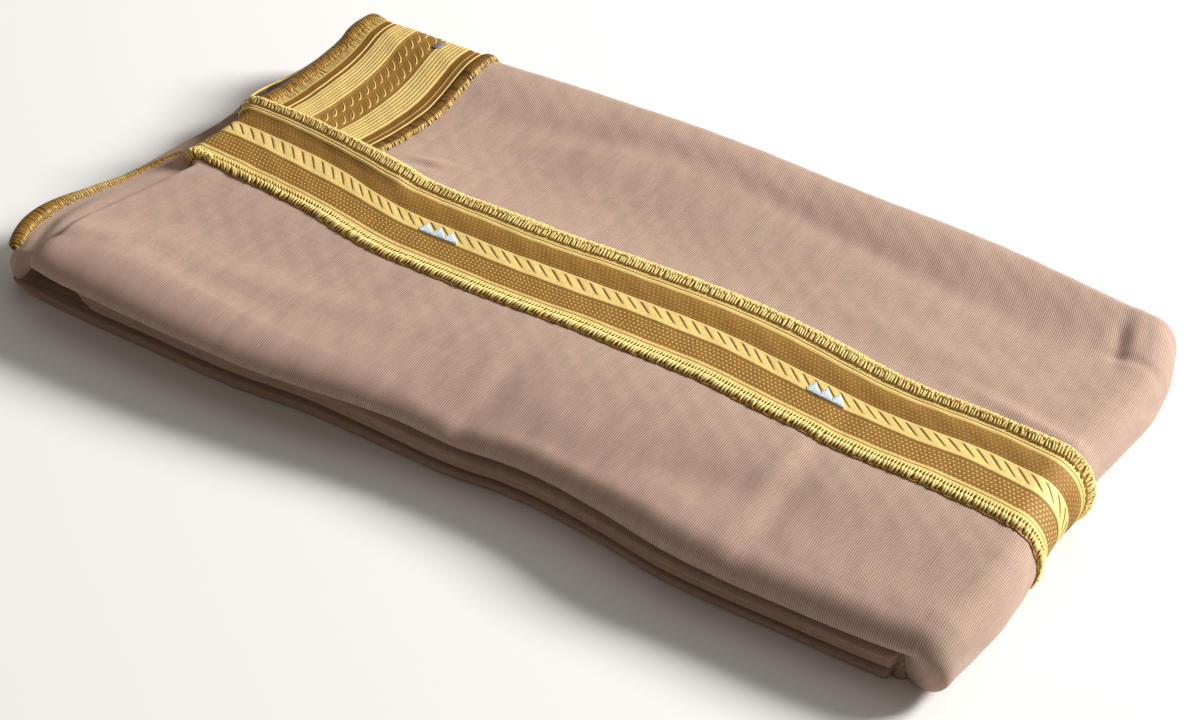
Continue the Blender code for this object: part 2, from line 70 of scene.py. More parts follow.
# the whole parcel, in metres; its tables count x and y from the near left corner
parcel = {
    "width": 0.2285, "top": 0.0255, "middleX": 0.1832, "middleY": 0.1148,
    "cloth": 0.0015, "gap": 0.0003, "coreGap": 0.0006, "bandWall": 0.0012,
    "rightRadius": 0.0120, "farRadius": 0.0068, "leftRadius": 0.0020, "rollSteps": 8,
    "cornerShare": 0.5, "cornerStart": 0.2, "cornerSpan": 0.75,
    "flatStartX": 0.0105, "flatEndX": 0.3590, "fallPower": 1.7,
    # y, x
    "leftEdge": [(0.000, 0.0126), (0.0135, 0.0109), (0.0215, 0.0098), (0.029, 0.0108), (0.041, 0.0121),
                 (0.0535, 0.0144), (0.067, 0.0163), (0.078, 0.0168), (0.084, 0.0122), (0.090, 0.0104),
                 (0.105, 0.0106), (0.122, 0.0110), (0.130, 0.0100), (0.138, 0.0082), (0.158, 0.0078),
                 (0.174, 0.0071), (0.189, 0.0061), (0.207, 0.0041), (0.214, 0.0024), (0.229, 0.0017)],
    "rightEdge": [(0.000, 0.3668), (0.020, 0.3700), (0.050, 0.3715), (0.080, 0.3694), (0.130, 0.3692),
                  (0.160, 0.3722), (0.195, 0.3750), (0.216, 0.3730), (0.230, 0.3695)],
    # x, y of the near fold, y where its roll starts, how far the roll sinks, and its underside's radius
    "nearEdge": [(0.000, -0.0050, 0.0030, 0.0050, 0.0030), (0.020, -0.0084, 0.0070, 0.0050, 0.0024),
                 (0.045, -0.0096, 0.0085, 0.0052, 0.0020), (0.090, -0.0090, 0.0085, 0.0052, 0.0020),
                 (0.108, -0.0080, 0.0080, 0.0052, 0.0022), (0.125, -0.0056, 0.0085, 0.0052, 0.0024),
                 (0.136, -0.0040, 0.0090, 0.0050, 0.0028), (0.148, -0.0018, 0.0090, 0.0048, 0.0034),
                 (0.162, 0.0008, 0.0080, 0.0049, 0.0044), (0.172, 0.0018, 0.0069, 0.0050, 0.0050),
                 (0.183, 0.0020, 0.0070, 0.0050, 0.0050), (0.190, 0.0030, 0.0084, 0.0054, 0.0054),
                 (0.200, 0.0044, 0.0098, 0.0054, 0.0054), (0.213, 0.0048, 0.0100, 0.0052, 0.0052),
                 (0.240, 0.0024, 0.0078, 0.0054, 0.0054), (0.265, -0.0026, 0.0048, 0.0056, 0.0054),
                 (0.315, -0.0028, 0.0050, 0.0060, 0.0056), (0.345, -0.0016, 0.0050, 0.0055, 0.0052),
                 (0.372, 0.0020, 0.0068, 0.0048, 0.0048)],
    # x, y where the top starts to fall towards the near fold, how far it falls
    "nearSlope": [
        (0.000, 0.014, 0.0004), (0.050, 0.014, 0.0006), (0.105, 0.016, 0.0008), (0.125, 0.020, 0.0012),
        (0.148, 0.026, 0.0024), (0.165, 0.032, 0.0036), (0.177, 0.036, 0.0049), (0.183, 0.036, 0.0056),
        (0.190, 0.036, 0.0033), (0.200, 0.034, 0.0030), (0.212, 0.030, 0.0026), (0.237, 0.024, 0.0030),
        (0.265, 0.014, 0.0016), (0.282, 0.014, 0.0018), (0.296, 0.018, 0.0022), (0.326, 0.015, 0.0025),
        (0.350, 0.015, 0.0028), (0.372, 0.012, 0.0028)],
    # x, y
    "farEdge": [(0.000, 0.2265), (0.060, 0.2274), (0.110, 0.2332), (0.170, 0.2350), (0.235, 0.2315),
                (0.292, 0.2305), (0.345, 0.2240), (0.372, 0.2215)],
}

softSwells = [
    # x, y, along, across, turn in degrees, height
    (0.235, 0.221, 0.150, 0.017, -1, 0.0042),
    (0.225, 0.146, 0.120, 0.024, -5, -0.0030),
    (0.140, 0.188, 0.050, 0.014, -8, 0.0012),
    (0.300, 0.190, 0.050, 0.014, -8, -0.0010),
    (0.112, 0.165, 0.040, 0.016, 80, -0.0014),
    (0.055, 0.040, 0.050, 0.018, 0, -0.0016),
    (0.050, 0.007, 0.060, 0.014, -4, 0.0013),
    (0.125, 0.035, 0.050, 0.018, 55, -0.0014),
    (0.225, 0.054, 0.070, 0.018, 3, 0.0014),
    (0.300, 0.010, 0.100, 0.024, 0, -0.0026),
    (0.310, 0.046, 0.045, 0.016, 12, 0.0012),
    (0.335, 0.090, 0.022, 0.030, 0, 0.0008),
    (0.030, 0.212, 0.036, 0.012, 0, 0.0020),
    (0.030, 0.146, 0.030, 0.010, 0, -0.0010),
]

creases = [
    # x, y, along, across, turn in degrees, height
    (0.0840, 0.1410, 0.0050, 0.0016, 25, 0.0008),
    (0.0850, 0.1370, 0.0060, 0.0018, 20, -0.0006),
    (0.1540, 0.1630, 0.0050, 0.0012, 55, 0.0004),
    (0.1800, 0.0180, 0.0240, 0.0036, 96, 0.0007),
    (0.1862, 0.0200, 0.0240, 0.0056, 97, -0.0010),
    (0.1930, 0.0160, 0.0140, 0.0080, 70, -0.0005),
    (0.2920, 0.0350, 0.0300, 0.0040, 92, -0.0010),
    (0.2850, 0.0350, 0.0300, 0.0050, 92, 0.0006),
    (0.0950, 0.0300, 0.0400, 0.0060, 12, 0.0009),
    (0.0600, 0.0180, 0.0340, 0.0060, -8, -0.0010),
    (0.2450, 0.0200, 0.0400, 0.0070, 14, -0.0010),
    (0.3300, 0.0500, 0.0240, 0.0060, 70, -0.0008),
    (0.3530, 0.1970, 0.0105, 0.0022, 101, -0.0013),
    (0.3580, 0.1985, 0.0110, 0.0028, 101, 0.0011),
    (0.3590, 0.1870, 0.0070, 0.0020, 8, -0.0007),
    (0.0260, 0.0600, 0.0180, 0.0034, 66, -0.0010),
    (0.0240, 0.0500, 0.0240, 0.0034, 80, 0.0008),
    (0.0300, 0.0200, 0.0170, 0.0050, 35, 0.0012),
    (0.0240, 0.0100, 0.0140, 0.0040, 45, -0.0010),
    (0.2400, 0.1950, 0.0500, 0.0050, -8, -0.0008),
    (0.1300, 0.1980, 0.0300, 0.0060, 15, -0.0010),
    (0.3000, 0.1480, 0.0400, 0.0070, -6, 0.0009),
    (0.3420, 0.1280, 0.0200, 0.0030, -12, 0.0012),
]

rollFolds = [
    # side, eighths past the flat top, x or y, half width in eighths, half length, lean, height
    ("right", 3.2, 0.0565, 0.60, 0.012, -90, -0.0008),
    ("right", 3.0, 0.1750, 0.60, 0.012, 70, -0.0009),
    ("right", 4.2, 0.0180, 0.70, 0.010, 60, -0.0008),
    ("far", 3.2, 0.0950, 0.70, 0.030, 20, -0.0007),
    ("far", 4.0, 0.2100, 0.80, 0.045, -12, -0.0008),
    ("far", 2.8, 0.3100, 0.70, 0.025, 25, -0.0007),
    ("near", 3.6, 0.1400, 0.80, 0.035, 14, -0.0005),
    ("near", 4.2, 0.2700, 0.90, 0.040, -12, -0.0006),
]


def foldDepth(s, t, x, y):
    # long dents round the rolls: height * exp(-(steps off / half width)^2 - (along / half length)^2)
    depth = np.zeros_like(x)
    for side, steps, middle, half, length, lean, rise in rollFolds:
        past = {"right": s - 1, "far": t - 1, "near": -t}[side]
        along = (y if side == "right" else x) - middle
        off = (past - steps - lean * along) / half
        depth = depth + rise * np.exp(-off ** 2 - (along / length) ** 2) * (past > 0)
    return depth


def mounds(rows, x, y):
    # sum of rise * exp(-(forward / along)^2 / 2 - (sideways / across)^2 / 2)
    height = np.zeros_like(x)
    for cx, cy, along, across, turn, rise in rows:
        c, s = math.cos(math.radians(turn)), math.sin(math.radians(turn))
        forward = (x - cx) * c + (y - cy) * s
        sideways = (y - cy) * c - (x - cx) * s
        height += rise * np.exp(-0.5 * (forward / along) ** 2 - 0.5 * (sideways / across) ** 2)
    return height


def nearFall(x, y):
    # the top falls to the near fold: depth (run past the start / run to the fold)^power
    start, depth = readCurve(parcel["nearSlope"], 1, x), readCurve(parcel["nearSlope"], 2, x)
    fold = readCurve(parcel["nearEdge"], 1, x)
    return -depth * np.clip((start - y) / (start - fold), 0, 1) ** parcel["fallPower"]


def limpness(x, y):
    # a few crossing waves, about a tenth of a millimetre, so that nothing is dead flat
    wave = np.sin(x * 210 + 3 * np.sin(y * 60)) * np.sin(y * 260 + 2 * np.sin(x * 45))
    return 0.00006 * wave + 0.00005 * np.sin(x * 480 + y * 350 + 2 * np.sin(y * 120))


def nearRoll(x):
    # the near fold is a long low roll: how far it reaches, how far it sinks, the radius of its underside
    reach = readCurve(parcel["nearEdge"], 2, x) - readCurve(parcel["nearEdge"], 1, x)
    return reach, readCurve(parcel["nearEdge"], 3, x), readCurve(parcel["nearEdge"], 4, x)


def flatEnds(t):  # x of both ends of the flat top, inside the rolls
    y = np.clip(t, 0, 1) * parcel["width"]
    left = readCurve(parcel["leftEdge"], 1, y) + parcel["leftRadius"]
    return left, readCurve(parcel["rightEdge"], 1, y) - parcel["rightRadius"]


def flatSides(x):  # y of both sides of the flat top, inside the rolls
    near = readCurve(parcel["nearEdge"], 2, x)
    return near, readCurve(parcel["farEdge"], 1, x) - parcel["farRadius"]


def cornerRise(turn):  # how much of the Y side's roll is reached at this turn round a corner
    return ease((turn - parcel["cornerStart"]) / parcel["cornerSpan"])


def sidesOf(s, t):  # steps past the flat part, and the turn from the X side (0) to the Y side (1)
    stepX = np.maximum(np.maximum(-s, s - 1), 0)
    stepY = np.maximum(np.maximum(-t, t - 1), 0)
    share = np.minimum(stepX, stepY) / np.maximum(np.maximum(stepX, stepY), 1e-9)
    turn = np.where(stepX >= stepY, 0.5 * share, 1 - 0.5 * share)
    return stepX, stepY, np.where((stepX == 0) & (stepY == 0), 0.0, turn)


def skin(s, t, lift):
    # 0..1 is the flat top; past it s and t count eighths of a half turn round the roll:
    # reach = radius sin(angle), height = top - sink + cos(angle) sink, then under cos(angle) below the
    # widest line, and lift goes outward
    s, t, lift = np.broadcast_arrays(np.asarray(s, float), np.asarray(t, float), np.asarray(lift, float))
    stepX, stepY, turn = sidesOf(s, t)
    angle = math.pi * np.maximum(stepX, stepY) / parcel["rollSteps"]
    past = parcel["cornerShare"] * np.where(angle > math.pi / 2, 1 - np.sin(angle), 0.0)
    left, right = flatEnds(t)
    x = between(left + parcel["leftRadius"] * past, right - parcel["rightRadius"] * past, np.clip(s, 0, 1))
    near, far = flatSides(x)
    rolls = nearRoll(x)
    y = between(near + rolls[0] * past, far - parcel["farRadius"] * past, np.clip(t, 0, 1))
    radiusX = np.where(s < 0.5, parcel["leftRadius"], parcel["rightRadius"])
    radius, sink, under = (
        between(radiusX, np.where(t < 0.5, size, parcel["farRadius"]), cornerRise(turn)) for size in rolls)
    lift = lift + foldDepth(s, t, x, y)
    reach = radius * (np.sin(angle) + past) + np.sin(angle) * lift
    height = parcel["top"] - sink + np.cos(angle) * (np.where(angle < math.pi / 2, sink, under) + lift)
    soft = mounds(softSwells, x, y) + mounds(creases, x, y) + limpness(x, y)
    x = x + np.where(s < 0.5, -1, 1) * np.cos(turn * math.pi / 2) * reach
    y = y + np.where(t < 0.5, -1, 1) * np.sin(turn * math.pi / 2) * reach
    height = height + (soft + nearFall(x, y)) * (1 + np.cos(angle)) / 2
    return np.stack([x - parcel["middleX"], y - parcel["middleY"], height], axis=-1)


def xOf(s):  # x of a share of the flat top's length
    return between(parcel["flatStartX"], parcel["flatEndX"], np.clip(s, 0, 1))


def tAt(s, y):  # share of the flat top's width at this y
    near, far = flatSides(xOf(s))
    return (y - near) / (far - near)


def makePiece(name, points, faceSets, uv, material):
    # faceSets holds arrays of corners, one array for each number of corners
    mesh = bpy.data.meshes.new(name)
    points = np.ascontiguousarray(points, np.float32).reshape(-1, 3)
    sizes = np.concatenate([np.full(len(faces), faces.shape[1]) for faces in faceSets])
    corners = np.concatenate([faces.ravel() for faces in faceSets]).astype(np.int32)
    mesh.vertices.add(len(points))
    mesh.vertices.foreach_set("co", points.ravel())
    mesh.loops.add(len(corners))
    mesh.loops.foreach_set("vertex_index", corners)
    mesh.polygons.add(len(sizes))
    mesh.polygons.foreach_set("loop_start", np.concatenate([[0], np.cumsum(sizes)[:-1]]).astype(np.int32))
    mesh.polygons.foreach_set("loop_total", sizes.astype(np.int32))
    mesh.update(calc_edges=True)
    mesh.validate()
    layer = mesh.uv_layers.new(name="UVMap")
    layer.data.foreach_set("uv", np.asarray(uv, np.float32).reshape(-1, 2)[corners].ravel())
    mesh.shade_smooth()
    mesh.materials.append(material)
    piece = bpy.data.objects.new(name, mesh)
    bpy.context.scene.collection.objects.link(piece)
    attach(piece, "root")
    return piece


def gridQuads(rows, columns, flip=False):  # faces up where rows run along X and columns along Y
    i, j = np.meshgrid(np.arange(rows - 1), np.arange(columns - 1), indexing="ij")
    a = (i * columns + j).ravel()
    quads = np.stack([a, a + columns, a + columns + 1, a + 1], 1)
    return quads[:, ::-1] if flip else quads


def borderOf(rows, columns):  # the grid's outer points, against the clock seen from above
    first = np.arange(rows) * columns
    last = (rows - 1) * columns + np.arange(1, columns)
    back = np.arange(rows - 2, -1, -1) * columns + columns - 1
    down = np.arange(columns - 2, 0, -1)
    return np.concatenate([first, last, back, down])


def joinRings(upper, lower):  # four cornered faces between two rings of as many points
    return np.stack([upper, lower, np.roll(lower, -1), np.roll(upper, -1)], 1)


def lengthAlong(points, axis, anchor):  # running length of the grid's lines, 0 at the anchor line
    steps = np.linalg.norm(np.diff(points, axis=axis), axis=-1)
    first = np.zeros_like(np.take(steps, [0], axis))
    total = np.concatenate([first, np.cumsum(steps, axis=axis)], axis=axis)
    return total - np.take(total, [anchor], axis)


def sharpen(piece, degrees=50):  # crisp where faces meet at more than this angle
    piece.data.set_sharp_from_angle(angle=math.radians(degrees))
    return piece


def wovenShell(name, s, t, low, high, material, uv=None, lines=None):
    # a thin closed wall between two lifts over the skin: skin(s, t, high) and skin(s, t, low);
    # u and v are metres along and across. lines picks the columns that the underside needs, and the
    # wall's ends are then single faces
    s, t, low, high = np.broadcast_arrays(s, t, low, high)
    rows, columns = s.shape
    top = skin(s, t, high)
    if uv is None:
        uv = np.stack([lengthAlong(top, 0, rows // 2), lengthAlong(top, 1, columns - 1)], -1)
    whole = lines is None
    lines = np.arange(columns) if whole else lines
    below = len(lines)
    bottom = skin(s[:, lines], t[:, lines], low[:, lines])
    count = rows * columns
    faces = [gridQuads(rows, columns), gridQuads(rows, below, True) + count]
    i = np.arange(rows - 1)
    first, lowFirst = i * columns, count + i * below
    last, lowLast = first + columns - 1, lowFirst + below - 1
    faces.append(np.stack([lowFirst, lowFirst + below, first + columns, first], 1))
    faces.append(np.stack([last, last + columns, lowLast + below, lowLast], 1))
    topLine, lowLine = np.arange(columns), count + np.arange(below)
    start = np.concatenate([topLine, lowLine[::-1]])[None, :]
    end = np.concatenate([topLine[::-1] + count - columns, lowLine + (rows - 1) * below])[None, :]
    if whole:
        j, k = topLine[:-1], lowLine[:-1]
        start = np.stack([j, j + 1, k + 1, k], 1)
        shift = [count - columns] * 2 + [(rows - 1) * below] * 2
        end = np.stack([j + 1, j, k, k + 1], 1) + np.array(shift)
    points = np.concatenate([top.reshape(-1, 3), bottom.reshape(-1, 3)])
    uv = np.concatenate([uv.reshape(-1, 2), uv[:, lines].reshape(-1, 2)])
    return sharpen(makePiece(name, points, [np.concatenate(faces), start, end], uv, material))


def threadTubes(name, centre, up, radius, sides, uvAcross, material, flatten=1.0):
    # many short tubes at once: centre is stitch x ring x 3, and each ring is
    # centre + radius (side cos + up sin), with up held square to the thread
    count, rings, _ = centre.shape
    forward = np.gradient(centre, axis=1)
    forward /= np.linalg.norm(forward, axis=-1, keepdims=True) + 1e-12
    up = up - forward * (up * forward).sum(-1, keepdims=True)
    up /= np.linalg.norm(up, axis=-1, keepdims=True) + 1e-12
    side = np.cross(forward, up)
    turn = np.arange(sides) * 2 * math.pi / sides
    circle = side[:, :, None] * np.cos(turn)[:, None] + flatten * up[:, :, None] * np.sin(turn)[:, None]
    points = centre[:, :, None] + np.asarray(radius)[..., None, None] * circle
    first = (np.arange(count) * rings * sides)[:, None, None]
    ring = first + (np.arange(rings - 1) * sides)[None, :, None]
    around = np.arange(sides)[None, None, :]
    after = (around + 1) % sides
    a, b = ring + around, ring + after
    quads = np.stack([b, a, a + sides, b + sides], -1).reshape(-1, 4)
    first, corner = first[:, 0], np.arange(sides)
    caps = np.concatenate([first + corner, first + (rings - 1) * sides + corner[::-1]])
    lengths = np.linalg.norm(np.diff(centre, axis=1), axis=-1)
    along = np.concatenate([np.zeros((count, 1)), np.cumsum(lengths, 1)], 1)
    u = np.broadcast_to(np.asarray(uvAcross)[:, None, None] + 0.0003 * np.cos(turn), points.shape[:3])
    v = np.broadcast_to(along[:, :, None], points.shape[:3])
    return makePiece(name, points, [quads, caps], np.stack([u, v], -1), material)


class Wire:
    # a socket that takes part in sums: +, -, * and / each add a Math node
    def __init__(self, paint, socket):
        self.paint = paint
        self.socket = socket

    def maths(self, operation, a, b=None):
        values = {0: a} if b is None else {0: a, 1: b}
        return self.paint.node("ShaderNodeMath", {"operation": operation}, values)

    def __add__(self, other):
        return self.maths("ADD", self, other)

    def __radd__(self, other):
        return self.maths("ADD", other, self)

    def __sub__(self, other):
        return self.maths("SUBTRACT", self, other)

    def __rsub__(self, other):
        return self.maths("SUBTRACT", other, self)

    def __mul__(self, other):
        return self.maths("MULTIPLY", self, other)

    def __rmul__(self, other):
        return self.maths("MULTIPLY", other, self)

    def __truediv__(self, other):
        return self.maths("DIVIDE", self, other)

    def __rtruediv__(self, other):
        return self.maths("DIVIDE", other, self)

    def fraction(self):
        return self.maths("FRACT", self)

    def floor(self):
        return self.maths("FLOOR", self)

    def fromHalf(self):  # |fraction - 1/2|
        return self.maths("ABSOLUTE", self.fraction() - 0.5)

    def wave(self):  # 2 |fraction - 1/2|: 1 at whole numbers and 0 between them
        return self.fromHalf() * 2

    def least(self, other):
        return self.maths("MINIMUM", self, other)

    def rise(self, low, high):  # smooth step from 0 at low to 1 at high
        settings = {"interpolation_type": "SMOOTHSTEP"}
        values = {"Value": self, "From Min": low, "From Max": high}
        return self.paint.node("ShaderNodeMapRange", settings, values)

    def inside(self, low, high, soft):  # 1 between low and high, with soft edges
        return self.rise(low - soft, low + soft) * (1 - self.rise(high - soft, high + soft))


class Paint:
    # one material; node() adds any node and gives back its first output
    def __init__(self, name, **constants):
        self.material = bpy.data.materials.new(name)
        self.material.use_nodes = True
        self.tree = self.material.node_tree
        self.shader = self.tree.nodes["Principled BSDF"]
        for socket, value in constants.items():
            self.shader.inputs[socket.replace("_", " ")].default_value = value

    def node(self, kind, settings=None, values=None, output=0):
        made = self.tree.nodes.new(kind)
        for key, value in (settings or {}).items():
            if key == "stops":
                for k, (place, colour) in enumerate(value):
                    stops = made.color_ramp.elements
                    stop = stops[k] if k < 2 else stops.new(place)
                    stop.position = place
                    stop.color = (*colour, 1)
            else:
                setattr(made, key, value)
        for key, value in (values or {}).items():
            if isinstance(value, Wire):
                self.tree.links.new(value.socket, made.inputs[key])
            else:
                made.inputs[key].default_value = value
        return Wire(self, made.outputs[output])

    def place(self):  # u and v of the piece's own map, in metres
        uv = self.node("ShaderNodeUVMap", {"uv_map": "UVMap"})
        split = self.node("ShaderNodeSeparateXYZ", None, {0: uv})
        return split, Wire(self, split.socket.node.outputs[1])

    def grain(self, u, v, scales, detail=2.0, roughness=0.5):  # noise with its own scale along u and v
        point = self.node("ShaderNodeCombineXYZ", None, {0: u * scales[0], 1: v * scales[1]})
        values = {"Vector": point, "Scale": 1.0, "Detail": detail, "Roughness": roughness}
        return self.node("ShaderNodeTexNoise", None, values)

    def blend(self, factor, a, b, kind="MIX"):
        a, b = (colour if isinstance(colour, Wire) else (*colour, 1) for colour in (a, b))
        settings = {"data_type": "RGBA", "blend_type": kind}
        return self.node("ShaderNodeMix", settings, {0: factor, 6: a, 7: b}, 2)

    def tint(self, colour, factor):  # colour times a plain number
        grey = self.node("ShaderNodeCombineColor", None, {0: factor, 1: factor, 2: factor})
        return self.blend(1.0, colour, grey, "MULTIPLY")

    def bump(self, height, strength, distance):
        values = {"Height": height, "Strength": strength, "Distance": distance}
        return self.node("ShaderNodeBump", None, values)

    def wear(self, **wires):
        for socket, wire in wires.items():
            self.tree.links.new(wire.socket, self.shader.inputs[socket.replace("_", " ")])
        return self.material


def stripes(across, rows):
    # sum of strength * inside(from, to, softness)
    total = 0.0
    for low, high, soft, strength in rows:
        total = total + across.inside(low, high, soft) * strength
    return total


twill = {
    "light": (0.590, 0.408, 0.318), "dark": (0.235, 0.148, 0.108), "sheen": (1.0, 0.86, 0.76, 1.0),
    "pitch": 0.00076, "lean": 0.06, "thread": 0.00042, "relief": 0.00012,
    # how quickly each kind of unevenness changes along u and v
    "wander": (60, 25), "slub": (1500, 160), "streak": (220, 9), "pick": (9, 420), "clouds": (24, 24),
}


def twillPaint(name, tone=1.0, shadeWarmth=(1.0, 1.0, 1.0)):
    # ribs: 2 |fraction((u + lean v) / pitch) - 1/2|, crossed by the weft at its own pitch
    w = twill
    paint = Paint(name, Roughness=0.85, Sheen_Weight=0.18, Sheen_Roughness=0.5, Sheen_Tint=w["sheen"],
                  Specular_IOR_Level=0.2)
    u, v = paint.place()
    phase = (u + v * w["lean"]) / w["pitch"] + (paint.grain(u, v, w["wander"]) - 0.5) * 1.2
    threads = phase.wave().rise(0.05, 0.95) * 0.80 + (v / w["thread"] + phase * 0.5).wave() * 0.20
    slub = paint.grain(u, v, w["slub"], 3.0, 0.6)
    streak, pick = (paint.grain(u, v, w[kind]) - 0.5 for kind in ("streak", "pick"))
    cloudy = paint.grain(u, v, w["clouds"], 3.0)
    shade = threads * 0.78 + slub * 0.45 + streak * 0.30 + pick * 0.15 - 0.11
    # tone and the warm tint darken and warm a copy of the cloth as painted shade; the plain cloth keeps
    # both at 1
    dark, light = (tuple(c * tone * k for c, k in zip(w[end], shadeWarmth)) for end in ("dark", "light"))
    colour = paint.tint(paint.blend(shade, dark, light), cloudy * 0.08 + 0.96)
    return paint.wear(Base_Color=colour, Roughness=(cloudy - 0.5) * 0.15 + 0.85,
                      Normal=paint.bump(threads + slub * 0.5, 0.7, w["relief"]))


print("shader tools ready")
clothPaint = twillPaint("rosyTwill")
# the hidden layers are the same cloth, painted 0.78 as dark and warmer as painted shade for the folds
# under the parcel
paintedShadeTwill = twillPaint("shadedTwill", 0.78, (1.00, 0.92, 0.84))

gold = {
    "deep": (0.140, 0.058, 0.009), "weave": (0.400, 0.208, 0.042), "pale": (0.650, 0.448, 0.135),
    "bright": (0.920, 0.705, 0.285), "slot": (0.075, 0.028, 0.005), "silver": (0.640, 0.690, 0.740),
}


def threadPaint(name, dark, light):
    # fine filaments along each stitch, and a tone of its own for every stitch
    paint = Paint(name, Roughness=0.52, Metallic=0.15, Specular_IOR_Level=0.2)
    u, v = paint.place()
    tone, strand = paint.grain(u, v, (900, 40)), paint.grain(u, v, (9000, 300), 1.0)
    colour = paint.blend(tone * 1.5 - 0.25 + (strand - 0.5) * 0.6, dark, light)
    return paint.wear(Base_Color=colour, Roughness=tone * 0.25 + 0.40,
                      Normal=paint.bump(strand, 0.5, 0.00009))


paleThread = threadPaint("paleGoldThread", gold["pale"], gold["bright"])
rollThread = threadPaint("rollGoldThread", (0.280, 0.125, 0.018), (0.640, 0.390, 0.090))
# the fringe bed's thread is partly its own deeper gold and partly painted shade under the loops and along
# the band's outer edge
bedThreadPaintedShade = threadPaint("bedGoldAndPaintedShade", (0.150, 0.066, 0.010), (0.440, 0.235, 0.045))
print("cloth and thread finishes ready")


narrow = {
    "width": 0.0540, "rollShare": 0.85, "footShare": 0.485, "stepShare": 0.67, "footSoft": 0.06,
    "leftStep": 5, "rightStep": 6, "hiddenShare": 0.69, "wideStepEndX": 0.095, "wideStepLength": 0.012,
    # x, y of the near edge, y of the far edge
    "edges": [(0.000, 0.0830, 0.1298), (0.030, 0.0805, 0.1310), (0.065, 0.0770, 0.1280),
              (0.100, 0.0706, 0.1238), (0.140, 0.0700, 0.1268), (0.190, 0.0724, 0.1283),
              (0.232, 0.0732, 0.1280), (0.265, 0.0688, 0.1243), (0.300, 0.0655, 0.1197),
              (0.335, 0.0658, 0.1200), (0.372, 0.0622, 0.1178)],
    # x, then how far the lines at these shares stray along y, in millimetres
    "strayShares": (0.0, 0.399, 0.547, 0.838, 1.0),
    "stray": [
        (0.000, -1.5, 2.0, 3.5, 1.0, 0.0), (0.020, -2.0, 2.5, 4.0, 1.0, 0.0),
        (0.040, -1.5, 2.0, 4.0, 0.5, 0.0), (0.060, -1.5, 1.5, 3.5, -0.5, -0.5),
        (0.080, -2.0, 1.5, 1.5, -1.5, -0.5), (0.100, -1.5, 0.5, 1.0, 0.5, 0.5),
        (0.120, -0.5, 0.0, 0.5, -0.5, -0.5), (0.140, 0.0, -0.5, -0.5, -2.5, -1.5),
        (0.160, 0.0, -0.5, 0.0, -2.0, -1.5), (0.180, -1.0, -0.5, 0.5, 0.0, 0.5),
        (0.200, -2.0, 0.5, 1.0, 1.0, 2.0), (0.220, -2.0, 0.5, 1.5, 2.0, 3.0),
        (0.240, -1.0, 1.5, 2.0, 3.0, 3.8), (0.260, -0.5, 1.5, 2.0, 3.0, 4.0),
        (0.280, 0.0, 1.0, 2.0, 1.5, 3.0), (0.300, -0.5, 1.5, 1.5, 0.5, 1.0),
        (0.320, -0.5, 0.5, 1.0, 0.0, 0.0), (0.340, -0.5, 1.5, 2.0, 0.3, -0.5),
        (0.360, -0.5, 1.0, 2.0, 0.0, 0.5), (0.372, -0.5, 1.0, 1.5, 0.0, 0.5)],
}

fronts = {
    "wall": 0.0008, "spacing": 0.0015, "tuck": 0.004,
    # how many lines lie across the near front, the part under its band, and the far front
    "nearLines": 50, "bandLines": 22, "farLines": 72,
}


def narrowStray(x, share):
    # each line's own stray along the band, blended from line to line across it
    total = 0.0
    places = narrow["strayShares"]
    for k, place in enumerate(places):
        before = places[k - 1] if k else place - 1
        after = places[k + 1] if k + 1 < len(places) else place + 1
        weight = np.minimum((share - before) / (place - before), (after - share) / (after - place))
        total = total + ease(weight) * readCurve(narrow["stray"], k + 1, x)
    return total / 1000


def narrowLine(s, share):  # t of a line along the narrow band, from its near edge to its far one
    x = xOf(s)
    y = between(readCurve(narrow["edges"], 1, x), readCurve(narrow["edges"], 2, x), share)
    return tAt(s, y + narrowStray(x, share))


def nearFrontLevel(s, share):
    # the near front's underside steps up over the hidden edge and again over the wide band
    foot, step, soft = narrow["footShare"], narrow["stepShare"], narrow["footSoft"]
    first = ease((share - foot + soft) / (step - foot + 2 * soft)) * (parcel["cloth"] + parcel["gap"])
    beside = ease((narrow["wideStepEndX"] - xOf(s)) / narrow["wideStepLength"])
    overWide = np.where(s < -narrow["leftStep"], 0.0, beside)
    second = ease((share - step) / (narrow["rollShare"] - step)) * overWide
    second = second * (parcel["bandWall"] + parcel["gap"])
    steps = parcel["rollSteps"]
    under = ease((s - 1 - narrow["rightStep"]) / (steps - narrow["rightStep"]))
    return (first + second) * (1 - under)


def lengthLines(firstStep, lastStep, spacing, perStep):
    # s values: round the left roll, along the flat top and round the right roll
    flat = int((parcel["flatEndX"] - parcel["flatStartX"]) / spacing)
    left = np.linspace(-firstStep, 0, firstStep * 2 + 1)[:-1]
    right = 1 + np.linspace(0, lastStep, lastStep * perStep + 1)
    return np.concatenate([left, np.linspace(0, 1, flat)[:-1], right])[:, None]


def buildNearFront():
    # one sheet: round its near fold, then flat to the band, then under the band out to its free edge
    s = lengthLines(parcel["rollSteps"], parcel["rollSteps"], fronts["spacing"], 3)
    edge = narrowLine(s, 0.0)
    rolled = np.linspace(-parcel["rollSteps"], 0, parcel["rollSteps"] * 2 + 1)[None, :-1] + 0 * s
    flat = edge * np.linspace(0, 1, fronts["nearLines"])[None, :-1]
    shares = np.linspace(0, 1, fronts["bandLines"])[None, :]
    t = np.concatenate([rolled, flat, narrowLine(s, shares)], axis=1)
    share = np.concatenate([np.zeros((1, rolled.shape[1] + flat.shape[1])), shares], axis=1)
    high = nearFrontLevel(s, share) + parcel["cloth"]
    piece = wovenShell("nearFrontCloth", s, t, high - fronts["wall"], high, clothPaint)
    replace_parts(piece, "near_front")
    return piece


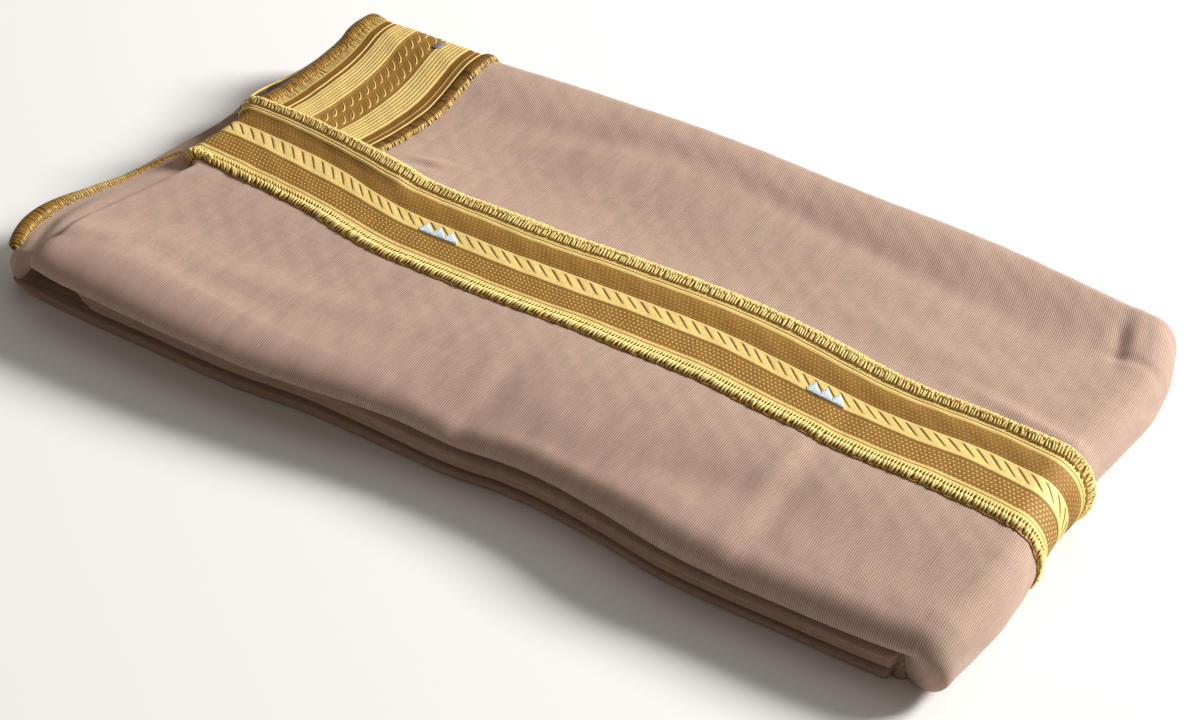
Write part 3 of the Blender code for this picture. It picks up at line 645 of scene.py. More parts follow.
def buildFarFront():
    # one sheet: from a hidden line under the band, or from beside the band once that is round the right
    # roll, to the far fold and under it
    s = lengthLines(3, parcel["rollSteps"], fronts["spacing"], 3)
    trimEdge = narrowLine(s, 1.0)
    clear = ease(s - narrow["rightStep"])
    hidden = between(narrowLine(s, narrow["hiddenShare"]), trimEdge + fronts["tuck"], clear)
    flat = hidden + (1 - hidden) * np.linspace(0, 1, fronts["farLines"])[None, :-1]
    rolled = 1 + np.linspace(0, parcel["rollSteps"], parcel["rollSteps"] * 2 + 1)[None, :] + 0 * s
    t, high = np.concatenate([flat, rolled], axis=1), parcel["cloth"]
    piece = wovenShell("farFrontCloth", s, t, high - fronts["wall"], high, clothPaint)
    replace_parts(piece, "far_front")
    return piece


nearFront = buildNearFront()
farFront = buildFarFront()
print("both fronts laid")


layers = {
    "rings": 72, "spacing": 0.003, "lines": 60, "plyPitch": 0.0015, "plyDepth": 0.00045, "farShort": 0.2,
    "rightTop": 0.0017, "farTop": 0.0018, "farTopStart": 0.134, "farTopLength": 0.008,
    # share of the height where the left and the near edge go in under the rolls, and the near roll below
    "underRoll": 0.965, "underFold": 0.975, "nearRadius": 0.0056,
    "rightReach": -0.0005, "tongueHalf": 0.0013, "pipingY": (0.1440, 0.2200), "pipingRadius": 0.00065,
    "pipingShift": (0.0002, 0.0004),
    # y, x of the stack's left edge
    "leftEdge": [(0.000, 0.0085), (0.035, 0.0068), (0.075, 0.0085), (0.100, 0.0060), (0.140, 0.0046),
                 (0.228, 0.0036)],
    # y, x and height of the edge of one layer that stands out on the left
    "tongue": [(0.036, 0.0040, 0.0160), (0.048, -0.0020, 0.0162), (0.060, -0.0068, 0.0164),
               (0.080, -0.0070, 0.0164), (0.098, -0.0064, 0.0164), (0.115, -0.0053, 0.0166),
               (0.130, -0.0052, 0.0170), (0.140, -0.0058, 0.0180), (0.150, -0.0064, 0.0188),
               (0.162, -0.0054, 0.0188), (0.173, -0.0040, 0.0188), (0.188, -0.0040, 0.0188),
               (0.204, -0.0058, 0.0188), (0.216, -0.0074, 0.0188), (0.226, -0.0050, 0.0188)],
    # x, y of the near side, inside its roll
    "nearEdge": [(0.000, 0.0030), (0.030, 0.0020), (0.060, 0.0022), (0.095, 0.0026), (0.125, 0.0062),
                 (0.148, 0.0066), (0.165, 0.0068), (0.183, 0.0070), (0.200, 0.0096), (0.213, 0.0100),
                 (0.240, 0.0078), (0.265, 0.0038), (0.315, 0.0040), (0.345, 0.0045), (0.372, 0.0068)],
    # share of the height, reach at the near and far edge, inset and reach at the left, inset at the right
    "profile": [
        (0.00, 0.0024, 0.0036, -0.0060, 0.0044, 0.0016), (0.16, 0.0042, 0.0056, -0.0066, 0.0064, 0.0014),
        (0.30, 0.0034, 0.0046, -0.0060, 0.0054, 0.0012), (0.36, 0.0014, 0.0024, 0.0200, 0.0034, 0.0010),
        (0.49, 0.0046, 0.0056, 0.0240, 0.0054, 0.0008), (0.69, 0.0052, 0.0064, 0.0200, 0.0058, 0.0006),
        (0.89, 0.0040, 0.0052, 0.0150, 0.0050, 0.0004), (0.98, 0.0008, 0.0018, 0.0100, 0.0034, 0.0002),
        (1.00, -0.0004, -0.0005, 0.0074, 0.0002, 0.0000)],
}


def cordedTop():  # height of the corded layer where the near front's left roll rests on it
    return parcel["top"] - 2 * parcel["leftRadius"] - parcel["cloth"] - parcel["gap"]


def layerRing(s, t, share):
    # one ring round the hidden layers: each side has its own inset and reach at this height, and
    # the plies' folded edges are a sine of the height; one of them stands out on the left
    nearOut, farOut, leftIn, leftOut, rightIn = (
        float(readCurve(layers["profile"], k, share)) for k in range(1, 6))
    _, _, turn = sidesOf(s, t)
    onLeft, onNear = s < 0.5, t < 0.5
    left, right = flatEnds(t)
    short = between(1.0, layers["farShort"], ease(np.clip(t, 0, 1) / 0.6))
    plain = readCurve(layers["leftEdge"], 1, np.clip(t, 0, 1) * parcel["width"]) + parcel["leftRadius"]
    left = between(plain, left, ease((share - layers["underRoll"]) / (1 - layers["underRoll"])))
    left = left + parcel["cornerShare"] * parcel["leftRadius"] + leftIn * short
    right = right - parcel["cornerShare"] * parcel["rightRadius"] - rightIn
    x = between(left, right, np.clip(s, 0, 1))
    near, far = flatSides(x)
    nearReach, nearSink, nearUnder = nearRoll(x)
    atTop = ease((share - layers["underFold"]) / (1 - layers["underFold"]))
    near = between(readCurve(layers["nearEdge"], 1, x), near, atTop)
    nearReach = between(layers["nearRadius"], nearReach, atTop)
    near = near + parcel["cornerShare"] * nearReach
    far = far - parcel["cornerShare"] * parcel["farRadius"]
    y = between(near, far, np.clip(t, 0, 1))
    topNear = parcel["top"] - nearSink - nearUnder - parcel["cloth"] - parcel["gap"]
    topFar = parcel["top"] - 2 * parcel["farRadius"] - parcel["cloth"] - parcel["gap"]
    topLeft = cordedTop() - parcel["cloth"] - parcel["gap"]
    pastBand = np.clip(t, 0, 1) * parcel["width"] - layers["farTopStart"]
    topLeft = topLeft + layers["farTop"] * ease(pastBand / layers["farTopLength"])
    topX = np.where(onLeft, topLeft, layers["rightTop"])
    topY = np.where(onNear, topNear, topFar)
    height = share * between(topX, topY, np.where(onLeft, ease(turn / 0.55), cornerRise(turn)))
    radiusX = np.where(onLeft, parcel["leftRadius"], parcel["rightRadius"])
    radiusY = np.where(onNear, nearReach, parcel["farRadius"])
    drawnIn = ease(np.where(onLeft, (turn - 0.1) / 0.8, (turn - 0.8) / 0.2))
    outX = np.where(onLeft, leftOut, layers["rightReach"])
    extra = between(outX, np.where(onNear, nearOut, farOut), drawnIn)
    ply = np.sin(2 * math.pi * height / layers["plyPitch"] + 2 * np.sin(x * 40) + np.sin(y * 60))
    shown = (share > 0) * np.where(onNear & (turn > 0.5), 0.3, 1.0)
    extra = extra - layers["plyDepth"] * (0.5 - 0.5 * ply) * shown
    reach = parcel["cornerShare"] * between(radiusX, radiusY, cornerRise(turn)) + extra
    x = x + np.where(onLeft, -1, 1) * np.cos(turn * math.pi / 2) * reach
    y = y + np.where(onNear, -1, 1) * np.sin(turn * math.pi / 2) * reach
    out = (height - readCurve(layers["tongue"], 2, y)) / layers["tongueHalf"]
    out = np.sqrt(np.clip(1 - out ** 2, 0, 1)) * onLeft * (1 - ease(turn / 0.3))
    x = x - out * np.maximum(x - readCurve(layers["tongue"], 1, y), 0)
    return np.stack([x - parcel["middleX"], y - parcel["middleY"], height], axis=-1)


def buildHiddenLayers():
    # the skin's own underside, then rings down to the floor, closed by a fan of triangles
    s = lengthLines(parcel["rollSteps"], parcel["rollSteps"], layers["spacing"], 1)[:, 0]
    steps = np.arange(1.0, parcel["rollSteps"] + 1)
    t = np.concatenate([-steps[::-1], np.linspace(0, 1, layers["lines"]), 1 + steps])
    gridS, gridT = np.meshgrid(s, t, indexing="ij")
    rows, columns = gridS.shape
    top = skin(gridS, gridT, -parcel["coreGap"])
    u, v = lengthAlong(top, 0, rows // 2), lengthAlong(top, 1, columns // 2)
    upper = borderOf(rows, columns)
    ringS, ringT = gridS.ravel()[upper], gridT.ravel()[upper]
    first = layerRing(ringS, ringT, 1.0)
    first[:, 2] = top.reshape(-1, 3)[upper, 2]
    rings = [first] + [layerRing(ringS, ringT, share) for share in np.linspace(1, 0, layers["rings"])]
    rings = np.array(rings)
    around = np.concatenate([[0], np.cumsum(np.linalg.norm(np.diff(rings[-1], axis=0), axis=1))])
    points = [top.reshape(-1, 3), rings.reshape(-1, 3), np.zeros((1, 3))]
    uv = [np.stack([u, v], -1).reshape(-1, 2),
          np.stack([np.tile(around, len(rings)), rings[:, :, 2].ravel()], -1), np.zeros((1, 2))]
    quads = [gridQuads(rows, columns)]
    count = rows * columns
    for k in range(len(rings)):
        lower = count + k * len(upper) + np.arange(len(ringS))
        quads.append(joinRings(upper, lower))
        upper = lower
    hub = np.full_like(upper, count + rings.shape[0] * rings.shape[1])
    floor = np.stack([upper, hub, np.roll(upper, -1)], 1)
    # the layers wear the darker, warmer twill of painted shade
    piece = makePiece("hiddenLayers", np.concatenate(points), [np.concatenate(quads), floor],
                      np.concatenate(uv), paintedShadeTwill)
    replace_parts(piece, "folded_stack")


buildHiddenLayers()
print("hidden layers stacked")


# where a length along the parcel falls: u is 0 at the start of the flat top, and the rolls
# are longer outside than inside, so an eighth of each has its own length
run = {"left": 0.0017, "right": 0.0056, "flat": parcel["flatEndX"] - parcel["flatStartX"]}
narrow["start"] = -run["left"] * narrow["leftStep"]
narrow["end"] = run["flat"] + run["right"] * narrow["rightStep"]


def sAlong(u):  # u / run of the flat top, and u / run of an eighth past either end
    past = 1 + (u - run["flat"]) / run["right"]
    return np.where(u < 0, u / run["left"], np.where(u < run["flat"], u / run["flat"], past))


def onNearFront(u, share, up):  # a point on the near front: length along, share across the band, height
    s = sAlong(u)
    return skin(s, narrowLine(s, share), nearFrontLevel(s, share) + parcel["cloth"] + up)


def sewn(name, place, u, v, up, radius, sides, tone, thread=paleThread, flatten=1.0):
    # threads on a band, through place(u, v, height); outwards is towards a point a little higher,
    # and tone, a column, is where each thread reads its colour
    u, v, up, radius = np.broadcast_arrays(u, v, up, radius)
    outward = place(u, v, 0.002) - place(u, v, 0.0)
    return threadTubes(name, place(u, v, up), outward, radius, sides, tone[:, 0], thread, flatten)


def bandShell(name, u, share, low, high, finish, lines=None):
    # a thin wall on the near front, between two heights over its cloth
    s = sAlong(u)
    base = nearFrontLevel(s, share) + parcel["cloth"]
    uv = np.stack(np.broadcast_arrays(u, share * narrow["width"]), -1)
    return wovenShell(name, s, narrowLine(s, share), base + low, base + high, finish, uv, lines)


def bandPlaces(inset, pitch, shift, seed):
    # even places along the narrow band, each moved at random by up to a share of the pitch
    places = np.arange(narrow["start"] + inset, narrow["end"] - inset, pitch)[:, None]
    return places + pitch * scatter(len(places), seed, -shift, shift)


def evenly(first, last, spacing):  # both ends and even places between, about the spacing apart
    return np.linspace(first, last, int(round(abs(last - first) / spacing)) + 1)


def along(count):  # a row from 0 to 1 along each thread
    return np.linspace(0, 1, count)[None, :]


def ridge(x, middle, half):  # 1 - ((x - middle) / half)^2, never below 0
    return np.clip(1 - ((x - middle) / half) ** 2, 0, 1)


def plateau(x, low, high, soft):  # 1 from low to high, with soft edges
    return ease((x - low) / soft + 0.5) * (1 - ease((x - high) / soft + 0.5))


narrowWeave = {
    "first": 0.100, "last": 0.890, "stepU": 0.00062, "stepShare": 0.0088, "wall": 0.00050,
    "underLines": 12, "hollow": (0.842, 0.88, 0.01), "hollowDepth": 0.00018,
    # share across, half width, height
    "ridges": [(0.139, 0.012, 0.00026), (0.170, 0.012, 0.00026), (0.790, 0.020, 0.00034),
               (0.831, 0.010, 0.00022)],
    "paleBand": (0.399, 0.547), "paleHeight": 0.00024, "scaleHeight": 0.00024, "bendShare": 0.436,
    "slashPitch": 0.00525, "slashLean": 1.32, "slashStart": 0.0042, "slashHalf": 0.11,
    "slashShares": (0.440, 0.524), "slashDepth": 0.00022, "dotPitch": 0.00175, "rowPitch": 0.00185,
    "threadPitch": 0.00046, "crossPitch": 0.00062, "dashPitch": 0.0011,
    # share from, to, softness, strength
    "paleLines": [(0.126, 0.1515, 0.003, 1.0), (0.158, 0.182, 0.003, 1.0), (0.768, 0.808, 0.003, 1.0),
                  (0.822, 0.842, 0.002, 1.0), (0.850, 0.890, 0.003, 0.8)],
    "darkLines": [(0.548, 0.556, 0.002, 0.8), (0.810, 0.820, 0.002, 0.7), (0.392, 0.399, 0.002, 0.35),
                  (0.842, 0.850, 0.002, 0.45)],
    "dashes": [(0.152, 0.158, 0.002, 0.9)],
    "dotFields": [(0.190, 0.388, 0.004, 0.85), (0.562, 0.764, 0.004, 0.40)],
}


def narrowRelief(u, share):
    # ridges, and a raised pale band with slanting slashes let into it; between the slashes
    # its scales rise as (1 - phase)^1.5
    w = narrowWeave
    height = np.full(np.broadcast(u, share).shape, w["wall"])
    for middle, half, rise in w["ridges"]:
        height = height + rise * ridge(share, middle, half)
    height = height + w["paleHeight"] * plateau(share, *w["paleBand"], 0.012)
    phase = (u - w["slashStart"] + w["slashLean"] * share * narrow["width"]) / w["slashPitch"]
    phase = phase - np.floor(phase)
    low, high = w["slashShares"]
    long = np.sqrt(ridge(share, (low + high) / 2, (high - low) / 2))
    slash = ridge(phase, 0.5, w["slashHalf"])
    rise = np.where(phase > 0.5, phase - 0.5, phase + 0.5)
    height = height + (w["scaleHeight"] * (1 - rise) ** 1.5 - w["slashDepth"] * slash) * long
    return height - w["hollowDepth"] * plateau(share, *w["hollow"])


def bandFinish(paint, colour, pale, fibre, cloudy, height):  # both bands' sheen: pale thread is smoother
    return paint.wear(Base_Color=paint.tint(colour, cloudy * 0.16 + 0.92),
                      Roughness=0.58 - pale * 0.06 + fibre * 0.10, Normal=paint.bump(height, 0.7, 0.00018))


def narrowPaint():
    # dark gold cloth with rows of pale dots, pale ribs, and a pale band cut by dark slashes
    w = narrowWeave
    paint = Paint("narrowGoldWeave", Metallic=0.12, Specular_IOR_Level=0.1)
    u, v = paint.place()
    share = v / narrow["width"]
    thread = (u / w["threadPitch"]).wave().rise(0.0, 1.0)
    cross = (v / w["crossPitch"] + (u / (w["threadPitch"] * 2)).floor() * 0.5).wave().rise(0.0, 1.0)
    fibre, cloudy = paint.grain(u, v, (1400, 500)), paint.grain(u, v, (60, 60))
    weave = thread * 0.40 + cross * 0.35 + fibre * 0.80
    base = paint.blend(weave * 1.1 - 0.36, gold["deep"], gold["weave"])
    phase = (u - w["slashStart"] + v * w["slashLean"]) / w["slashPitch"]
    bend = ((share - w["bendShare"]) / 0.090).least(1.0)  # a slash is thinner towards its foot
    slash = 1 - (phase.fromHalf() / (bend * 0.04 + 0.080)).rise(0.70, 1.20)
    slash = slash * share.inside(*w["slashShares"], 0.006)
    pale = (stripes(share, w["paleLines"]) + share.inside(*w["paleBand"], 0.003)).least(1.0)
    row = v / w["rowPitch"]
    dots = (u / w["dotPitch"] + row.floor() * 0.5).fraction().inside(0.28, 0.66, 0.16)
    dots = dots * row.fraction().inside(0.36, 0.64, 0.14)
    dots = dots * stripes(share, w["dotFields"]) * (fibre * 0.8 + 0.60)
    dashes = stripes(share, w["dashes"]) * (u / w["dashPitch"]).fraction().inside(0.2, 0.8, 0.15)
    paleCloth = paint.blend(fibre * 1.3 + thread * 0.25 - 0.30, gold["pale"], gold["bright"])
    colour = paint.blend((dots * 0.85).least(1.0), base, gold["bright"])
    colour = paint.blend(pale, colour, paleCloth)
    dark = slash * 0.80 + stripes(share, w["darkLines"]) + dashes
    colour = paint.blend(dark.least(1.0), colour, gold["slot"])
    return bandFinish(paint, colour, pale, fibre, cloudy, weave * 0.5 + dots * 0.9 - slash * 0.5)


def buildNarrowBand():
    # the woven part: cloth height + gap + relief, over a plain underside
    w = narrowWeave
    u = evenly(narrow["start"], narrow["end"], w["stepU"])[:, None]
    share = evenly(w["first"], w["last"], w["stepShare"])[None, :]
    lines = np.linspace(0, share.shape[1] - 1, w["underLines"]).astype(int)
    band = bandShell("narrowGoldBand", u, share, parcel["gap"], parcel["gap"] + narrowRelief(u, share),
                     narrowPaint(), lines)
    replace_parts(band, "narrow_trim")


fringe = {
    "pitch": 0.0013, "shares": (0.122, 0.012), "uneven": 0.010, "inset": 0.0004,
    "shift": 0.10, "drift": (-0.55, 0.45), "lift": 0.0002, "sizes": (0.88, 1.10),
    # turn along the thread, its radius, its height
    "shape": [(0.00, 0.00048, 0.0010), (0.12, 0.00046, 0.0011), (0.24, 0.00032, 0.0008),
              (0.34, 0.00032, 0.0008), (0.46, 0.00068, 0.0011), (0.66, 0.00064, 0.0011),
              (0.82, 0.00044, 0.0009), (1.00, 0.00026, 0.0004)],
    "bedShares": (0.004, 0.116), "bedHeight": 0.0004, "bedSpacing": 0.0012, "bedLines": 7,
    # the waves of the bed's edge: share, radians for each metre, start
    "bedWaves": [(0.004, 900, 0), (0.003, 2300, 1)],
}


def buildFringe():
    # side by side threads across the edge: share = inner + (outer - inner) turn; each is thin over a row
    # of holes, then swells until neighbours touch, and ends thin again
    w = fringe
    inner, outer = w["shares"]
    place = bandPlaces(w["inset"], w["pitch"], w["shift"], 11)
    count = len(place)
    turn = np.array([row[0] for row in w["shape"]])[None, :]
    share = inner + (outer - inner + w["uneven"] * scatter(count, 12, -1, 1)) * turn
    u = place + w["pitch"] * scatter(count, 13, *w["drift"]) * turn ** 2
    up = readCurve(w["shape"], 2, turn) + w["lift"] * scatter(count, 14, -1, 1) * turn
    radius = readCurve(w["shape"], 1, turn) * scatter(count, 15, *w["sizes"])
    sewn("fringeThreads", onNearFront, u, share, up, radius, 6, place * 3)
    u = evenly(narrow["start"], narrow["end"], w["bedSpacing"])[:, None]
    first, last = w["bedShares"]
    share = np.linspace(first, last, w["bedLines"])[None, :]
    wave = sum(size * np.sin(u * turns + start) for size, turns, start in w["bedWaves"])
    share = share + wave * (1 - (share - first) / last)
    # the bed is dark: its own deep gold, plus painted shade showing between and below the fringe threads
    bed = bandShell("fringeBed", u, share, 0.0, w["bedHeight"], bedThreadPaintedShade)
    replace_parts(bed, "narrow_trim_loops")


whipRoll = {
    "pitch": 0.0011, "shares": (0.874, 0.992), "crown": 0.0009, "wall": 0.0006, "lean": 0.12,
    "middle": 0.93, "spacing": 0.0010, "lines": 12, "inset": 0.0008, "neck": 0.00043, "belly": 0.00060,
    "height": 0.0003, "lift": 0.0002, "shift": 0.22, "leans": (-0.14, 0.14), "sizes": (0.84, 1.14),
    # the shares across where the stitches of each layer start and end
    "starts": (0.866, 0.873), "ends": (0.966, 0.990),
    "overStarts": (0.908, 0.932), "overEnds": (0.970, 0.994), "overHeight": 0.0007, "overInset": 0.0010,
    "overRadius": 0.00036, "overShift": 0.6, "overDrift": (-1, 0.7), "overSizes": (0.75, 1.2),
    "filaments": 1300, "filamentRadius": 0.00013, "filamentStarts": (0.920, 0.955),
    "filamentReach": 0.034, "filamentLengths": (0.5, 1.2), "filamentRun": 0.0012, "filamentBow": 0.0005,
}


def crowned(share, first, last, power=0.5):  # (1 - w^2)^power, w from -1 at first to 1 at last
    w = np.clip((share - first) / (last - first) * 2 - 1, -1, 1)
    return (1 - w * w) ** power


def overRoll(share):  # the whipped roll's height
    return whipRoll["wall"] + whipRoll["crown"] * crowned(share, *whipRoll["shares"], 0.9)


def buildWhipRoll():
    # a rounded roll under slanting stitches; each goes over the crown and swells towards the outside
    w = whipRoll
    u = evenly(narrow["start"], narrow["end"], w["spacing"])[:, None]
    share = np.linspace(*w["shares"], w["lines"])[None, :]
    roll = bandShell("whippedRoll", u, share, 0.0, overRoll(share), rollThread)
    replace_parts(roll, "narrow_trim_roll")
    place, turn = bandPlaces(w["inset"], w["pitch"], w["shift"], 21), along(9)
    count = len(place)
    share = between(scatter(count, 29, *w["starts"]), scatter(count, 22, *w["ends"]), turn)
    lean = w["lean"] + scatter(count, 30, *w["leans"])
    u = place - lean * (share - w["middle"]) * narrow["width"]
    up = w["height"] + overRoll(share) + w["lift"] * scatter(count, 23, -1, 1) * turn
    radius = between(w["neck"], w["belly"], ease((turn - 0.22) / 0.3)) * scatter(count, 24, *w["sizes"])
    radius = radius * (1 - 0.3 * ease((turn - 0.88) / 0.12))
    sewn("whipStitches", onNearFront, u, share, up, radius, 6, place * 3 + 0.2)
    # a finer second layer over the outer half, each thread at its own lean
    place, turn = bandPlaces(w["overInset"], w["pitch"] * 0.5, w["overShift"], 31), along(7)
    count = len(place)
    share = between(scatter(count, 32, *w["overStarts"]), scatter(count, 33, *w["overEnds"]), turn)
    u = place + w["pitch"] * scatter(count, 34, *w["overDrift"]) * (turn - 0.5)
    up = w["overHeight"] + overRoll(share) + w["lift"] * np.sin(math.pi * turn)
    radius = w["overRadius"] * (0.45 + 0.55 * np.sin(math.pi * turn)) * scatter(count, 35, *w["overSizes"])
    sewn("whipOverStitches", onNearFront, u, share, up, radius, 5, place * 3 + 0.9)
    # fine loose filaments over the outer half: each bows up a little between its two ends
    count, turn = w["filaments"], along(5)
    start, side = scatter(count, 25, narrow["start"], narrow["end"]), scatter(count, 26, -1, 1)
    share = w["filamentReach"] * turn * scatter(count, 28, *w["filamentLengths"])
    share = scatter(count, 27, *w["filamentStarts"]) + share
    up = w["overHeight"] + overRoll(share) + w["filamentBow"] * np.sin(math.pi * turn)
    sewn("looseFilaments", onNearFront, start + w["filamentRun"] * side * turn, share, up,
         w["filamentRadius"] * (1 - 0.4 * turn), 4, start * 3 + 0.4)


buildNarrowBand()
buildFringe()
buildWhipRoll()
print("narrow gold band sewn on")


# the wide band: u runs along Y from the narrow band's far edge, v across from the outer roll
wide = {
    "startY": 0.1290, "across": 0.0645, "farStep": 6, "farRun": 0.0036,
    "foldRadius": 0.0060, "underRadius": 0.0042,
    # y, x of the band's inner edge, x of the outer roll's outline
    "edges": [(0.128, 0.0668, 0.0060), (0.140, 0.0675, 0.0058), (0.152, 0.0682, 0.0058),
              (0.165, 0.0688, 0.0054), (0.178, 0.0686, 0.0048), (0.190, 0.0672, 0.0039),
              (0.205, 0.0652, 0.0022), (0.218, 0.0640, 0.0000), (0.230, 0.0636, -0.0004)],
    "firstU": -0.0030, "weaveV": (0.0060, 0.0608), "stepU": 0.00075, "stepV": 0.00045, "wall": 0.00050,
    "paleFields": ((0.0150, 0.0254), (0.0404, 0.0519)), "ribs": 7, "ribHeight": 0.00030,
    "fieldRise": 0.00008, "leafField": (0.0264, 0.0398), "leafColumns": (0.0298, 0.0364),
    "leafPitch": 0.0062, "leafStart": 0.002, "leafHalf": 0.0034, "leafHeight": 0.00034,
    # the leaves' rims, along and across: each bulges and hooks in at its end; none near the far end
    "rimReach": (0.0036, 0.0025), "rimBow": (0.0006, 0.0005), "rimHook": 0.0009, "rimHeight": 0.00014,
    "rimRadius": 0.00028, "rimShort": 0.004, "rimFirst": -0.001,
    "lines": ((0.0132, 0.000352), (0.0552, 0.000384), (0.0576, 0.000480)), "lineHeight": 0.00024,
    "threadPitch": 0.00048, "finePitch": 0.00044, "stitchPitch": 0.0011,
    # v from, to, softness, strength
    "thinLines": [(0.0128, 0.0136, 0.0001, 0.8), (0.0550, 0.0554, 0.0001, 0.7),
                  (0.0092, 0.0097, 0.0001, 0.8), (0.0573, 0.0580, 0.0001, 1.0),
                  (0.0261, 0.0264, 0.0001, 0.5)],
    "brownLines": [(0.0060, 0.0094, 0.0002, 1.4), (0.0104, 0.0148, 0.0002, 0.7),
                   (0.0521, 0.0600, 0.0003, 0.8)],
}
wide["length"] = parcel["width"] - wide["startY"]


def onWideBand(u, v, up):
    # v is 0 on the outer roll's outline and grows to the inner edge; past the flat top it turns round the
    # left roll at angle = arcsin(distance past / roll radius), then on under it;
    # u counts from the narrow band's far edge, and past the flat top round the far roll
    w = wide
    flatY = w["length"]
    t = np.where(u < flatY, (w["startY"] + u) / parcel["width"], 1 + (u - flatY) / w["farRun"])
    y = np.clip(t, 0, 1) * parcel["width"]
    inner, outline = readCurve(w["edges"], 1, y), readCurve(w["edges"], 2, y)
    x = inner - (w["across"] - v) * (inner - outline) / w["across"]
    leftFlat, rightFlat = flatEnds(t)
    past = leftFlat - x
    angle = np.arcsin(np.clip(past / w["foldRadius"], 0, 1))
    angle = angle + np.maximum(past - w["foldRadius"], 0) / w["underRadius"]
    s = np.where(past > 0, -angle * parcel["rollSteps"] / math.pi, -past / (rightFlat - leftFlat))
    return skin(s, t, parcel["cloth"] + up)


def wideRelief(u, v):
    # seven half round ribs in each pale field, thin lines, and leaves that rise as phase^1.5 to their rim
    w = wide
    height = np.full(np.broadcast(u, v).shape, w["wall"])
    for low, high in w["paleFields"]:
        phase = (v - low) / (high - low) * w["ribs"]
        rib = np.sqrt(ridge(phase - np.floor(phase), 0.5, 0.5))
        height = height + (w["fieldRise"] + w["ribHeight"] * rib) * plateau(v, low, high, 0.0003)
    for middle, half in w["lines"]:
        height = height + w["lineHeight"] * ridge(v, middle, half)
    for k, middle in enumerate(w["leafColumns"]):
        phase = (u + 1.5 * (v - middle) - w["leafStart"]) / w["leafPitch"] - 0.5 * k + 0.88
        rise = phase - np.floor(phase)
        leaf = rise ** 1.5 * (1 - ease((rise - 0.86) / 0.14))
        height = height + w["leafHeight"] * leaf * ridge(v, middle, w["leafHalf"])
    return height


def widePaint():
    # dark gold cloth with two ribbed pale fields, brown stripes, thin bright lines and a row of leaves
    w = wide
    paint = Paint("wideGoldWeave", Metallic=0.12, Specular_IOR_Level=0.1)
    u, v = paint.place()
    thread = (u / w["threadPitch"]).wave().rise(0.0, 1.0)
    fine = (v / w["finePitch"]).wave().rise(0.0, 1.0)
    fibre, cloudy = paint.grain(u, v, (500, 1400)), paint.grain(u, v, (60, 60))
    weave = thread * 0.45 + fine * 0.25 + fibre * 0.80
    base = paint.blend(weave * 1.1 - 0.36, gold["deep"], gold["weave"])
    fields = phase = 0.0
    for low, high in w["paleFields"]:
        field = v.inside(low, high, 0.00015)
        fields, phase = fields + field, phase + (v - low) * (w["ribs"] / (high - low)) * field
    groove = phase.wave().rise(0.52, 0.90)
    stitch = (u / w["stitchPitch"] + phase.floor() * 0.5).fraction().inside(0.15, 0.72, 0.12)
    paleCloth = paint.blend(fibre * 1.3 + thread * 0.3 - 0.30, gold["pale"], gold["bright"])
    colour = paint.blend(stripes(v, w["brownLines"]) * 0.55, base, gold["deep"])
    colour = paint.blend(v.inside(*w["leafField"], 0.0002) * 0.12, colour, gold["pale"])
    colour = paint.blend(fields.least(1.0), colour, paleCloth)
    colour = paint.blend((groove * fields * (stitch * 0.85 + 0.25)).least(1.0), colour, gold["slot"])
    colour = paint.blend(stripes(v, w["thinLines"]).least(1.0) * 0.9, colour, gold["bright"])
    return bandFinish(paint, colour, fields, fibre, cloudy, weave * 0.5 - groove * stitch * fields * 0.8)


def closedWall(name, top, bottom, uv, material, flip=False):
    # two grids of points, joined round their border
    rows, columns = top.shape[:2]
    ring, count = borderOf(rows, columns), rows * columns
    quads = np.concatenate([gridQuads(rows, columns), gridQuads(rows, columns, True) + count,
                            joinRings(ring, ring + count)])
    points = np.concatenate([top.reshape(-1, 3), bottom.reshape(-1, 3)])
    quads = quads[:, ::-1] if flip else quads
    return makePiece(name, points, [quads], np.tile(uv.reshape(-1, 2), (2, 1)), material)


def wideShell(name, u, v, low, high, material):
    # a wall on the wide band between two heights; rows run along v, which is X here, and columns along u
    u, v, low, high = np.broadcast_arrays(u, v, low, high)
    top, bottom = onWideBand(u, v, high), onWideBand(u, v, low)
    return sharpen(closedWall(name, top, bottom, np.stack([u, v], -1), material))


def farLines(first, spacing):  # u from under the narrow band to the end of the far roll
    return evenly(first, wide["length"] + wide["farRun"] * wide["farStep"], spacing)


def buildWideBand():
    # the woven part between the two rolls: gap + relief above, and a flat underside
    u = farLines(wide["firstU"], wide["stepU"])[None, :]
    v = evenly(*wide["weaveV"], wide["stepV"])[:, None]
    low, high = parcel["gap"], parcel["gap"] + wideRelief(u, v)
    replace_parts(wideShell("wideGoldBand", u, v, low, high, widePaint()), "wide_trim")


def satinPaint(name, dark, light, pitch, paintedHighlight=None):
    # tight wraps across the roll: bright backs, dark slots between, a few gaps; a tube has its length
    # in v, and the last argument, (first, last, soft), is where along it a painted highlight of bright
    # gold stands for the light catching it
    paint = Paint(name, Metallic=0.25, Specular_IOR_Level=0.2)
    u, v = paint.place()
    if paintedHighlight:
        u, v = v, u
    wrap = ((u + v * 0.35) / pitch + (paint.grain(u, v, (500, 60), 1.0) - 0.5) * 0.8).wave()
    deepGap = paint.grain(u, v, (800, 25), 1.0).rise(0.50, 0.66)
    broad = paint.grain(u, v, (90, 90))
    colour = paint.blend(wrap.rise(0.0, 0.7) * 0.95 + broad * 0.4 - 0.22, dark, light)
    slots = deepGap * 0.80 + (1 - wrap.rise(0.0, 0.35)) * 0.60
    colour = paint.blend(slots.least(1.0), colour, gold["slot"])
    if paintedHighlight:
        # painted highlight: bright gold blended in along part of the tube's length
        colour = paint.blend(u.inside(*paintedHighlight) * (wrap * 0.7 + broad * 0.6 - 0.25), colour, gold["bright"])
    return paint.wear(Base_Color=colour, Roughness=0.40 + broad * 0.20,
                      Normal=paint.bump(wrap.rise(0.0, 0.5) - deepGap * 0.8, 0.9, 0.00022))


